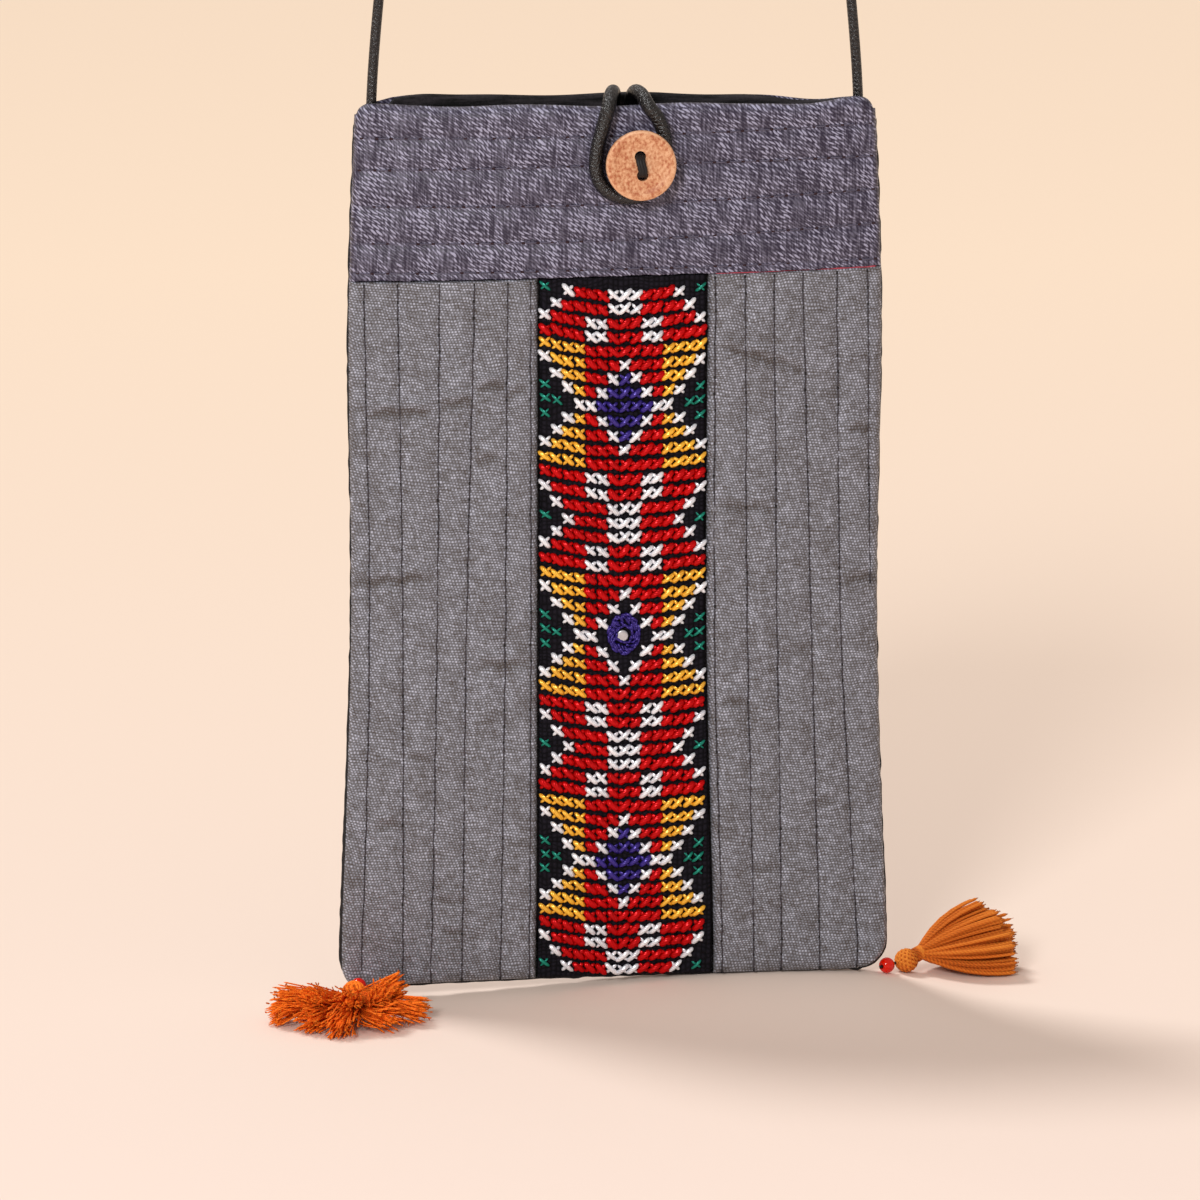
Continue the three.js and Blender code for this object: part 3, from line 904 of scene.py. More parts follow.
def woven(tree, pitch_mm, shift, turn=0.0):
    """A weave on object coordinates: where it is, the floats' rounded height, and a random number each.
    The pitch is a float's width and height; every row up shifts its floats by a share of their width.
    turn leans the rows, in degrees, down to the right."""
    place = object_place(tree)
    settings = {"Vector": place, "Rotation": (0, math.radians(turn), 0)}
    leaned = add_node(tree, "ShaderNodeMapping", {"vector_type": "TEXTURE"}, settings)
    parts = add_node(tree, "ShaderNodeSeparateXYZ", {}, {"Vector": leaned.outputs[0]})
    wander = maths(tree, "MULTIPLY", noise(tree, place, 6.0), 4.0)
    up = maths(tree, "MULTIPLY_ADD", parts.outputs["Z"], 1 / (pitch_mm[1] * MM), wander)
    row = maths(tree, "FLOOR", up)
    shifted = maths(tree, "MULTIPLY", row, shift)
    across = maths(tree, "MULTIPLY_ADD", parts.outputs["X"], 1 / (pitch_mm[0] * MM), shifted)
    angles = [maths(tree, "MULTIPLY", maths(tree, "FRACT", way), math.pi) for way in (across, up)]
    height = maths(tree, "MULTIPLY", *(maths(tree, "SINE", angle) for angle in angles))
    cell = add_node(tree, "ShaderNodeCombineXYZ", {}, {"X": maths(tree, "FLOOR", across), "Y": row})
    flat = {"noise_dimensions": "2D"}
    dice = add_node(tree, "ShaderNodeTexWhiteNoise", flat, {"Vector": cell.outputs[0]})
    return place, height, dice.outputs["Value"]


def dressed(tree, shader, shade, height=None, depth_mm=0.0, strength=0.0):
    """Gives a shader its shade, and its relief where it has any."""
    tree.links.new(shade, shader.inputs["Base Color"])
    if height is not None:
        relief = {"Height": height, "Distance": depth_mm * MM, "Strength": strength}
        bump = add_node(tree, "ShaderNodeBump", {}, relief)
        tree.links.new(bump.outputs["Normal"], shader.inputs["Normal"])


def quilted_silk(colour):
    """Shot silk and cotton in a plain weave, washed: a grey with painted glints thread by thread, and
    painted brown shade in its creases. Threads of 0.25 mm are drawn at 0.6 mm, or they would be too fine to
    show."""
    made, tree, shader = new_material(
        "shot silk cotton, plain woven",
        {"Roughness": 0.55, "Specular IOR Level": 0.3, "Sheen Weight": 0.04, "Sheen Roughness": 0.4},
    )
    place, height, dice = woven(tree, (0.7, 0.6), 0.34, turn=3.0)
    # painted highlights: the crowns of some threads made pale
    glint = maths(tree, "MULTIPLY", height, dice)
    weft = noise(tree, place, (2.5, 2.0, 0.5))
    warp = noise(tree, place, (0.5, 2.0, 2.5))
    mottle = noise(tree, place, 5.0, detail=3.0)
    # the crease mark darkens the colour towards brown: painted shade in the creases
    crease = marked(tree, "crease")
    mixed = weighed(
        tree,
        0.43,
        (height, 0.4, 0.62),
        (glint, 0.2, 0.22),
        (dice, 0.5, 0.1),
        (weft, 0.5, 0.8),
        (warp, 0.5, 0.6),
        (mottle, 0.5, 0.4),
        (crease, 0.0, -0.36),
    )
    # brown is the dark end, where the painted crease shade leads; the last and palest colour is that of the
    # painted glints
    brown = scaled(colour, 0.34, 0.28, 0.24)
    cool = scaled(colour, 1.14, 1.2, 1.3)
    shade = tinted(tree, mixed, brown, scaled(colour, 0.74), cool, scaled(cool, 2.3))
    dressed(tree, shader, shade, height, 0.1, 0.7)
    return made


def slubbed_twill(colour):
    """Silk twill with slubs: slanting painted glints in patches of painted sheen, streaked up and down with
    dark purple yarn.
    Threads of 0.25 mm are drawn at 0.55 mm, or they would be too fine to show."""
    made, tree, shader = new_material(
        "slubbed silk twill",
        {"Roughness": 0.46, "Specular IOR Level": 0.4, "Sheen Weight": 0.04, "Sheen Roughness": 0.35},
    )
    place, height, dice = woven(tree, (2.6, 0.55), 0.57, turn=38.0)
    patch = noise(tree, place, (2.6, 10.0, 9.0), detail=3.0)
    # patches where the floats stand out and glint: painted sheen and painted highlights
    plain = maths(tree, "MAXIMUM", weighed(tree, 0.55, (patch, 0.5, 1.8)), 0.25)
    raised = maths(tree, "MULTIPLY", maths(tree, "SUBTRACT", height, 0.4), plain)
    glint = maths(tree, "MULTIPLY", maths(tree, "MULTIPLY", height, dice), plain)
    streak = noise(tree, place, (0.5, 2.0, 5.0), detail=3.0)
    mixed = weighed(
        tree, 0.36, (raised, 0.0, 1.2), (glint, 0.1, 1.3), (streak, 0.5, 2.2), (patch, 0.5, 0.2)
    )
    purple = scaled(colour, 0.2, 0.16, 0.26)
    # the palest colour, for the painted glints
    pale = scaled(colour, 3.2, 3.4, 3.1)
    shade = tinted(tree, mixed, purple, scaled(colour, 0.74), scaled(colour, 1.25), pale)
    dressed(tree, shader, shade, height, 0.12, 0.7)
    return made


def black_canvas(colour):
    """Even-weave black cotton: matt, with its grid of threads just showing."""
    made, tree, shader = new_material(
        "even-weave cotton, dyed black", {"Roughness": 0.9, "Specular IOR Level": 0.12}
    )
    _, height, dice = woven(tree, (1.1, 1.1), 0.0)
    mixed = maths(tree, "MULTIPLY_ADD", dice, 0.3, maths(tree, "MULTIPLY", height, 0.7))
    shade = tinted(tree, mixed, scaled(colour, 0.1), scaled(colour, 1.7))
    dressed(tree, shader, shade, height, 0.2, 0.8)
    return made


def lining_cotton(colour):
    """Thin black cotton lawn, a little shiny where it is pressed: painted sheen in soft stripes."""
    made, tree, shader = new_material(
        "cotton lawn, dyed black", {"Roughness": 0.7, "Specular IOR Level": 0.2}
    )
    place, height, dice = woven(tree, (0.4, 0.4), 0.5)
    fade = noise(tree, place, 14.0)
    crumple = noise(tree, place, (9.0, 9.0, 0.8), detail=3.0)
    # the crumple stripes, lighter and darker, are painted sheen and shade
    mixed = weighed(tree, 0.5, (dice, 0.5, 0.3), (fade, 0.5, 0.8), (crumple, 0.5, 3.0))
    shade = tinted(tree, mixed, scaled(colour, 0.3), scaled(colour, 4.4))
    dressed(tree, shader, shade, height, 0.06, 0.4)
    return made


def spun_fibre(name, colour, constants, twist, plies, depth_mm, contrast, pale=None, ends=0.0):
    """A twisted thread or yarn: its plies wind round it, with painted shade between them, and each strand's
    own shade.
    twist is its turns from end to end, and ends how much painted light makes its cut end paler."""
    made, tree, shader = new_material(name, constants)
    around, along = strand_place(tree)
    own = marked(tree, "shade")
    begun = maths(tree, "MULTIPLY_ADD", own, 7.0, around)
    wound = maths(tree, "MULTIPLY_ADD", along, twist, begun)
    # the grooves between the plies darken the colour: painted shade
    ply = maths(tree, "SINE", maths(tree, "MULTIPLY", wound, 2 * math.pi * plies))
    ply = maths(tree, "MULTIPLY_ADD", ply, 0.5, 0.5)
    place = object_place(tree)
    fuzz = noise(tree, place, 0.5)
    mixed = maths(tree, "MULTIPLY_ADD", ply, 0.3, maths(tree, "MULTIPLY", own, 0.4))
    mixed = maths(tree, "MULTIPLY_ADD", fuzz, 0.3, mixed)
    # painted light: the cut end made paler, where its fibres catch the light
    if ends:
        mixed = maths(tree, "MULTIPLY_ADD", maths(tree, "POWER", along, 3.0), ends, mixed)
    pale = pale or scaled(colour, 1 + 0.7 * contrast)
    shade = tinted(tree, mixed, scaled(colour, 1 - contrast), colour, pale)
    dressed(tree, shader, shade, ply, depth_mm, 0.8)
    return made


def cotton_floss(name, colour):
    """Stranded cotton floss, mercerised: full and silky, glinting in its own colour along six strands."""
    own = [math.sqrt(part) for part in colour]
    constants = {"Roughness": 0.28, "IOR": 2.6, "Specular IOR Level": 1.0, "Specular Tint": (*own, 1)}
    return spun_fibre(f"stranded cotton floss, {name}", colour, constants, 0.5, 6, 0.06, 0.5)


def sewing_thread(name, colour):
    """Spun polyester sewing thread: fine and nearly matt."""
    constants = {"Roughness": 0.6, "Specular IOR Level": 0.4}
    return spun_fibre(f"sewing thread, {name}", colour, constants, 3.0, 2, 0.05, 0.3)


def cotton_yarn(name, colour):
    """Two-ply cotton yarn, unglazed: matt, twisted and a little hairy."""
    constants = {
        "Roughness": 0.8,
        "Specular IOR Level": 0.2,
        "Sheen Weight": 0.15,
        "Sheen Roughness": 0.5,
        "Sheen Tint": (*colour, 1),
    }
    # a golden palest colour, reached at the painted light of the cut ends
    pale = scaled(colour, 1.25, 1.75, 2.4)
    return spun_fibre(f"two-ply cotton yarn, {name}", colour, constants, 12.0, 2, 0.13, 0.66, pale, 0.4)


def satin_cord(colour):
    """Rattail cord: a satin sleeve on a soft core, black with broken glints along its winding threads.
    Its threads of 0.15 mm are drawn at 0.9 mm, or they would be too fine to show."""
    made, tree, shader = new_material(
        "satin rattail cord, black", {"Roughness": 0.22, "Specular IOR Level": 0.6}
    )
    around, along = strand_place(tree)
    threads = maths(tree, "MULTIPLY", along, STRAND_LENGTH / 0.9)
    wound = maths(tree, "MULTIPLY_ADD", around, 4.0, threads)
    ridge = maths(tree, "SINE", maths(tree, "MULTIPLY", wound, 2 * math.pi))
    place = object_place(tree)
    crumple = noise(tree, place, 0.6, detail=4.0)
    # the colour follows the crumples and the winding threads: painted sheen and shade on the relief
    mixed = maths(tree, "MULTIPLY_ADD", ridge, 0.15, crumple)
    shade = tinted(tree, mixed, scaled(colour, 0.2), scaled(colour, 1.2))
    dressed(tree, shader, shade, maths(tree, "MULTIPLY_ADD", crumple, 12.0, ridge), 0.05, 0.8)
    return made


def button_wood(colour):
    """Turned coconut wood: tan, thick with cream and brown flecks, waxed, with a painted highlight in a
    pale ring at its rim.
    """
    made, tree, shader = new_material(
        "turned coconut wood, waxed", {"Roughness": 0.5, "Specular IOR Level": 0.35}
    )
    place = object_place(tree)
    grain = noise(tree, place, (3.2, 3.2, 4.6), detail=4.0)
    fleck = noise(tree, place, (0.6, 0.6, 0.75), detail=3.0)
    hub = placed(BUTTON["across"], 0, BUTTON["up"])
    flat = {"Vector": place, "Location": -hub, "Scale": (1, 0, 1)}
    spot = add_node(tree, "ShaderNodeMapping", {}, flat).outputs[0]
    reach = add_node(tree, "ShaderNodeVectorMath", {"operation": "LENGTH"}, {"Vector": spot})
    # a pale ring round the rim: painted highlight on the turned edge
    rim = maths(tree, "GREATER_THAN", reach.outputs["Value"], (BUTTON["radius"] - BUTTON_RIM_HIGHLIGHT) * MM)
    mixed = weighed(tree, 0.5, (fleck, 0.5, 3.0), (grain, 0.5, 1.7), (rim, 0.0, 0.4))
    brown = scaled(colour, 0.7, 0.46, 0.38)
    shade = tinted(tree, mixed, brown, colour, scaled(colour, 1.25, 1.5, 1.7))
    dressed(tree, shader, shade, fleck, 0.06, 0.4)
    return made


def bead_glass(colour):
    """Pressed red glass, clear and glossy, with uneven depth of colour."""
    made, tree, shader = new_material(
        "pressed glass, red", {"Roughness": 0.04, "IOR": 1.45, "Transmission Weight": 0.3}
    )
    place = object_place(tree)
    depth = noise(tree, place, 1.2)
    shade = tinted(tree, depth, scaled(colour, 0.8), scaled(colour, 1.6))
    dressed(tree, shader, shade)
    return made


def worn_mirror(colour):
    """A tiny blown-glass mirror, its silver worn and milky."""
    made, tree, shader = new_material("silvered glass, worn", {"Metallic": 0.55, "Roughness": 0.3})
    place = object_place(tree)
    worn = noise(tree, place, 0.7, detail=4.0)
    shade = tinted(tree, worn, scaled(colour, 0.5), colour)
    dressed(tree, shader, shade)
    return made


def floor_paper(near, far):
    """A sheet of matt backdrop paper: pale, warmer with distance."""
    made, tree, shader = new_material(
        "backdrop paper, matt", {"Roughness": 0.95, "Specular IOR Level": 0.1}
    )
    place = object_place(tree)
    parts = add_node(tree, "ShaderNodeSeparateXYZ", {}, {"Vector": place})
    away = maths(tree, "MULTIPLY_ADD", parts.outputs["Y"], 0.9, 0.15)
    dressed(tree, shader, tinted(tree, away, near, far), noise(tree, place, 0.8), 0.05, 0.2)
    return made


# Settings


def colour_setting(name, description, default):
    """A setting for a colour, with a hex sRGB colour as its default."""
    return FloatVectorProperty(
        name=name, description=description, subtype="COLOR", size=3, min=0, max=1, default=linear(default)
    )


def length_setting(name, description, default_mm):
    """A setting for a length, with its default in millimetres."""
    return FloatProperty(
        name=name,
        description=description,
        subtype="DISTANCE",
        unit="LENGTH",
        min=0,
        precision=5,
        default=default_mm * MM,
    )


class ClothSettings(bpy.types.PropertyGroup):
    """The bag's cloths and the threads that sew them."""

    panel: colour_setting("Panels", "Colour of the quilted panels", "#77777d")
    band: colour_setting("Band", "Colour of the band round the mouth", "#5d5a6d")
    ground: colour_setting("Strip", "Colour of the cloth under the cross-stitch", "#15131a")
    lining: colour_setting("Lining", "Colour of the lining", "#141214")
    quilting: colour_setting("Quilting thread", "Colour of the panels' thread", "#3a343a")
    running: colour_setting("Band thread", "Colour of the band's thread", "#565264")
    # the holes' dark colour stands partly for their thread and partly for painted shade in the holes
    holes: colour_setting("Needle holes", "Colour of the thread where it dips into the band", "#2c0f1a")
    edging: colour_setting("Edging", "Colour of the thread along the band's lower edge", "#b8485a")
    panel_puff: FloatProperty(
        name="Rib height", description="A panel rib's height over its width", min=0, max=0.3, default=0.1
    )
    band_puff: FloatProperty(
        name="Band height", description="A band rib's height over its width", min=0, max=0.3, default=0.085
    )
    quilting_stitch: length_setting("Quilting stitch", "Length of a stitch in the panels", 3.65)
    running_stitch: length_setting("Band stitch", "Length of a stitch in the band", 3.26)
    thread: length_setting("Thread", "Thickness of the sewing thread", 0.32)


class FlossSettings(bpy.types.PropertyGroup):
    """The cross-stitch."""

    red: colour_setting("Red", "Colour of the red floss", "#a60304")
    white: colour_setting("White", "Colour of the white floss", "#e6eaf4")
    yellow: colour_setting("Yellow", "Colour of the yellow floss", "#f6ae2c")
    green: colour_setting("Green", "Colour of the green floss", "#0e6856")
    blue: colour_setting("Blue", "Colour of the blue floss", "#231966")
    thick: length_setting("Floss", "Thickness of the floss", 1.05)


class TrimSettings(bpy.types.PropertyGroup):
    """The cords, the button, the beads and the tassels."""

    cord: colour_setting("Cord", "Colour of the strap and the loop", "#141214")
    wood: colour_setting("Button", "Colour of the button's wood", "#c98f68")
    bead: colour_setting("Beads", "Colour of the glass beads", "#f01800")
    mirror: colour_setting("Mirror", "Colour of the little mirror", "#d8d8dc")
    tassel_left: colour_setting("Left tassel", "Colour of the left tassel's yarn", "#f06612")
    tassel_right: colour_setting("Right tassel", "Colour of the right tassel's yarn", "#c8631a")
    yarn: length_setting("Yarn", "Thickness of the tassels' yarn", 0.8)
    yarns: IntProperty(
        name="Yarns", description="Yarns in each lock of a tassel", min=4, max=60, default=32
    )


class StageSettings(bpy.types.PropertyGroup):
    """The floor and the light."""

    near: colour_setting("Floor", "Colour of the floor near the bag", "#ecdacf")
    far: colour_setting("Far floor", "Colour of the floor far away", "#ffead3")
    air: colour_setting("Air", "Colour of the light all round", "#fff1e6")
    air_strength: FloatProperty(name="Air strength", description="Light all round", min=0, default=0.46)
    key_strength: FloatProperty(
        name="Key light", description="Strength of the high light behind", min=0, default=1.55
    )
    front_power: FloatProperty(
        name="Front light", description="Power of the light in front", subtype="POWER", min=0, default=25
    )
    lens: FloatProperty(
        name="Lens", description="The camera's focal length", subtype="DISTANCE_CAMERA", min=1, default=207
    )


# Sewing


def along_panel(seams_at, line, shares):
    """Points along one seam of a panel, as x and up."""
    x = seams_at(panel_level(shares))[..., line]
    return x, lerp(bottom_edge(x), panel_top(x), shares)


def along_band(row, shares):
    """Points along one row of the band, as x and up."""
    rim_left, rim_right = sides_at(np.float64(MOUTH))
    up = band_rows_at(lerp(rim_left, rim_right, shares))[..., row]
    left, right = sides_at(up)
    return lerp(left, right, shares), up


def sewn_line(points, side, rng):
    """Stitches along a row of needle holes: where each starts, bends and ends, and the holes."""
    x, up = points
    x = x + rng.uniform(-STITCH_WANDER, STITCH_WANDER, len(x))
    out = side * (hollow(x, up, side) + CLOTH)
    holes = np.column_stack([x, out, up])
    starts, ends = (lerp(holes[:-1], holes[1:], share) for share in (STITCH_GAP, 1 - STITCH_GAP))
    proud = np.array([0, side * STITCH_PROUD, 0])
    return starts, (starts + ends) / 2 + proud, ends, holes


def sewn_rows(rows, side, thick, dot, seed):
    """All the stitches of some rows as one mesh, and the thread in the needle holes as another.
    dot is the length of thread that shows in a hole."""
    rng = np.random.default_rng(seed)
    lines = [sewn_line(points, side, rng) for points in rows]
    starts, bends, ends, holes = (np.concatenate(parts) for parts in zip(*lines))
    form = strand_form(6, 6, 0.5)
    radius = thick / MM / 2
    shade = rng.uniform(0, 1, len(starts))
    facing = (0, side, 0)
    stitches = strands_mesh(form, starts, bends, ends, radius, radius, facing, shade)
    turns = np.concatenate([np.gradient(line[3], axis=0) for line in lines])
    reach = dot / 2 * unit(turns)
    sunk = holes - np.array([0, side * HOLE_SUNK, 0])
    # the thread in the holes takes a dark shade too: painted shade in the needle holes
    dots = strands_mesh(
        strand_form(5, 4, 0.5),
        sunk - reach,
        sunk,
        sunk + reach,
        DOT_WIDE * radius,
        DOT_TALL * radius,
        facing,
        0.2,
    )
    return stitches, dots


def row_shares(length, stitch, margin):
    """Needle holes along a row, as shares of its length."""
    return np.linspace(margin / length, 1 - margin / length, round(length / (stitch / MM)) + 1)


class BAG_OT_quilted_panels(bpy.types.Operator):
    """Makes the two front panels and the back panel, with their quilting"""

    bl_idname = "sling_bag.quilted_panels"
    bl_label = "Quilted Panels"
    bl_options = {"REGISTER", "UNDO"}

    def execute(self, context):
        cloth = context.scene.sling_bag_cloth
        silk = quilted_silk(cloth.panel)
        thread = sewing_thread("navy", cloth.quilting)
        # the needle holes' thread is the quilting thread darkened: painted shade in the holes
        shaded_hole_thread = sewing_thread("black navy", scaled(cloth.quilting, 0.3))
        plans = (
            ("left", "front_panel_left", FRONT, left_seams, 7, LEFT_CREASES, (0.0446, 0.158)),
            ("right", "front_panel_right", FRONT, right_seams, 7, RIGHT_CREASES, (0.0422, 0.158)),
            ("back", "back_panel", BACK, back_seams, BACK_CHANNELS, BACK_CREASES, (0.122, 0.158)),
        )
        for seed, (name, node, side, seams_at, ribs, creases, flat) in enumerate(plans):
            spread = panel_spread(seams_at, ribs, cloth.panel_puff, creases, seed)
            columns = RIB_COLUMNS * ribs
            mesh = wall_mesh(side, columns, PANEL_ROWS, spread, CLOTH, PANEL_ROLL)
            mark_crease_shade(mesh, creases)
            panel = bag_piece(f"quilted_{name}", mesh, silk, "panel_cloth", node)
            shares = row_shares(QUILT_ROW, cloth.quilting_stitch, QUILT_MARGIN)
            rows = [along_panel(seams_at, line, shares) for line in range(1, ribs)]
            rows = [self.clear_of_sides(*row) for row in rows]
            stitches, dots = sewn_rows(rows, side, cloth.thread, QUILT_DOT, seed)
            sewn = (
                bag_piece(f"quilting_{name}", stitches, thread, "panel_cloth"),
                bag_piece(f"quilting_{name}_holes", dots, shaded_hole_thread, "panel_cloth"),
            )
        return {"FINISHED"}

    def clear_of_sides(self, x, up):
        """The needle holes of a row that don't run into a side seam."""
        left, right = sides_at(up)
        clear = (x - left > SEAM_MARGIN) & (right - x > SEAM_MARGIN)
        return x[clear], up[clear]


class BAG_OT_mouth_band(bpy.types.Operator):
    """Makes the two halves of the band round the mouth, with their rows of running stitch"""

    bl_idname = "sling_bag.mouth_band"
    bl_label = "Mouth Band"
    bl_options = {"REGISTER", "UNDO"}

    def execute(self, context):
        cloth = context.scene.sling_bag_cloth
        twill = slubbed_twill(cloth.band)
        thread = sewing_thread("purple", cloth.running)
        # the holes' thread, darker than the stitches: partly painted shade in the holes
        shaded_hole_thread = sewing_thread("maroon", cloth.holes)
        for name, side in (("front", FRONT), ("back", BACK)):
            spread = band_spread(cloth.band_puff, side)
            mesh = wall_mesh(side, *BAND_GRID, spread, CLOTH, BAND_ROLL)
            band = bag_piece(f"twill_band_{name}", mesh, twill, "band_cloth", f"{name}_band")
            shares = row_shares(BAND_ROW, cloth.running_stitch, BAND_MARGIN)
            rows = [along_band(row, shares) for row in range(1, len(BAND_ROWS[0]) - 1)]
            stitches, dots = sewn_rows(rows, side, cloth.thread, BAND_DOT, 5 + side)
            sewn = [
                bag_piece(f"running_stitch_{name}", stitches, thread, "band_cloth"),
                bag_piece(f"running_stitch_{name}_holes", dots, shaded_hole_thread, "band_cloth"),
            ]
            if side == FRONT:
                sewn.append(self.edging(cloth))
        return {"FINISHED"}

    def edging(self, cloth):
        """The red thread that shows along the right of the band's lower edge."""
        x = np.linspace(EDGING_FROM, EDGING_TO, 30)
        up = band_rows_at(x)[..., 0] - EDGING_DROP
        out = -(hollow(x, up, FRONT) + CLOTH * EDGING_OUT)
        mesh = tube_mesh(np.column_stack([x, out, up]), EDGING_WIDTHS, 6, 60)
        return bag_piece("band_edging", mesh, sewing_thread("red", cloth.edging), "band_cloth")


class BAG_OT_embroidered_strip(bpy.types.Operator):
    """Makes the black strip, its cross-stitch, and the ring with its mirror"""

    bl_idname = "sling_bag.embroidered_strip"
    bl_label = "Embroidered Strip"
    bl_options = {"REGISTER", "UNDO"}

    def execute(self, context):
        cloth = context.scene.sling_bag_cloth
        floss = context.scene.sling_bag_floss
        spread = panel_spread(strip_seams, 1, 0.0, (), 11)
        mesh = wall_mesh(FRONT, *STRIP_GRID, spread, STRIP_CLOTH, STRIP_ROLL)
        canvas = black_canvas(cloth.ground)
        ground = bag_piece("strip_ground", mesh, canvas, "strip_cloth", "embroidered_strip")
        for letter, name in zip("RWYGB", ("red", "white", "yellow", "green", "blue")):
            material = cotton_floss(name, getattr(floss, name))
            crosses = self.crosses(letter, floss.thick)
            bag_piece(f"cross_stitch_{name}", crosses, material, "strip_cloth")
            if letter == "B":
                bag_piece("mirror_ring", self.ring(floss.thick), material, "strip_cloth")
        self.mirror(context.scene.sling_bag_trim)
        return {"FINISHED"}

    def cells(self, letter):
        """The middles of the cells that the chart gives to a colour."""
        found = []
        turn = len(CHART) - 1
        for row in range(CHART_ROWS):
            line = CHART[turn - abs(turn - row % (2 * turn))]
            for column, mark in enumerate(line):
                if mark == letter and not (letter == "B" and row in RING_ROWS):
                    found.append((column, row))
        return np.array(found, float)

    def crosses(self, letter, thick):
        """The crosses of one colour: in each, a leg and another over it that leans to the middle."""
        rng = np.random.default_rng(ord(letter))
        column, row = self.cells(letter).T
        count = len(column)
        down = row / (CHART_ROWS - 1)
        off = column - CHART_HALF
        inner = CHART_HALF - CHART_SIDE
        lift = LEFT_LIFT * np.clip((-off - inner) / CHART_SIDE, 0, 1) ** 1.3
        lift = lift + lerp(*RIGHT_LIFT, down) * np.clip((off - inner) / CHART_SIDE, 0, 1) ** 1.2
        bulge = CHART_BULGE * (1 - (off / CHART_HALF) ** 2)
        x = CHART_MIDDLE + off * COLUMN_PITCH + bulge + rng.normal(0, 0.09, count)
        up = chart_rows_at(row)[..., 0] + lift + rng.normal(0, 0.1, count)
        lean = np.where(off < 0, -1, 1)
        size, fullness = FLOSS[letter]
        legs = []
        for slant, proud, long, _ in CROSS_LEGS:
            wide = CROSS_HALF[0] * size * long * rng.uniform(0.84, 1.08, count)
            tall = CROSS_HALF[1] * size * long * rng.uniform(0.8, 1.1, count) * slant * lean
            ends = []
            for end in (-1, 1):
                end_x, end_up = x + end * wide, up + end * tall
                deep = hollow(end_x, end_up, FRONT) + STRIP_CLOTH + CROSS_OUT
                ends.append(np.column_stack([end_x, -deep, end_up]))
            legs.append((ends[0], (ends[0] + ends[1]) / 2 + np.array([0, -proud, 0]), ends[1]))
        starts, bends, ends = (np.concatenate(parts) for parts in zip(*legs))
        radius = thick / MM / 2 * fullness * rng.uniform(0.88, 1.1, 2 * count)
        radius = radius * np.repeat([leg[-1] for leg in CROSS_LEGS], count)
        shade = rng.uniform(0, 1, 2 * count)
        form = strand_form(8, 8, 0.6, waist=0.06)
        flat = CROSS_FLAT * radius
        return strands_mesh(form, starts, bends, ends, radius, flat, (0, -1, 0), shade)

    def ring(self, thick):
        """Loose stitches round and round the mirror, filling an oval ring."""
        rng = np.random.default_rng(7)
        heart = np.array([RING["across"], RING["up"]])
        oval = np.array([RING["wide"], RING["tall"]])

        def on_strip(turn, reach, proud):
            spoke = np.column_stack([np.cos(turn), np.sin(turn)])
            flat = heart + spoke * lerp(np.full(2, RING["inner"]), oval, reach[:, None])
            deep = hollow(flat[:, 0], flat[:, 1], FRONT) + STRIP_CLOTH + proud
            return np.column_stack([flat[:, 0], -deep, flat[:, 1]])

        routes = []
        for ring, turning, slant in RING["rounds"]:
            count = RING["stitches"]
            turn = np.linspace(0, 2 * math.pi, count, endpoint=False) + rng.normal(0, 0.09, count)
            reach = np.clip(ring + rng.normal(0, 0.1, count), 0, 1)
            far = np.clip(reach + slant + rng.normal(0, 0.12, count), 0, 1)
            turned = turn + turning * 2 * math.pi / count
            proud = RING["proud"] + rng.uniform(-0.2, 0.4, count)
            middle = on_strip((turn + turned) / 2, (reach + far) / 2, proud)
            foot = RING["foot"]
            routes.append((on_strip(turn, reach, foot), middle, on_strip(turned, far, foot)))
        starts, bends, ends = (np.concatenate(parts) for parts in zip(*routes))
        radius = RING["fullness"] * thick / MM * rng.uniform(0.75, 1.2, len(starts))
        # darker shades than elsewhere: painted shade among the ring's dense stitches
        shade = rng.uniform(-0.3, 0.5, len(starts))
        form = strand_form(7, 6, 0.55)
        return strands_mesh(form, starts, bends, ends, radius, radius, (0, -1, 0), shade)

    def mirror(self, trim):
        """The little mirror, with a ground edge and a slightly domed face."""
        seat = float(hollow(MIRROR["across"], MIRROR["up"], FRONT)) + STRIP_CLOTH + GAP
        radius, thick = MIRROR["radius"], MIRROR["thick"]
        dome = [(radius * s, thick - 0.08 * s * s) for s in (0, 0.3, 0.6, 0.85)]
        edge = [(radius - 0.08, thick - 0.12), (radius, thick - 0.22)]
        edge = [*edge, (radius, 0.1), (radius - 0.1, 0), (0, 0)]
        centre = (MIRROR["across"], -seat, MIRROR["up"])
        mesh = spun_mesh(dome + edge, (0, -1, 0), centre, 40)
        bag_piece("worn_mirror", mesh, worn_mirror(trim.mirror), "mirror_glass", "mirror_disc")


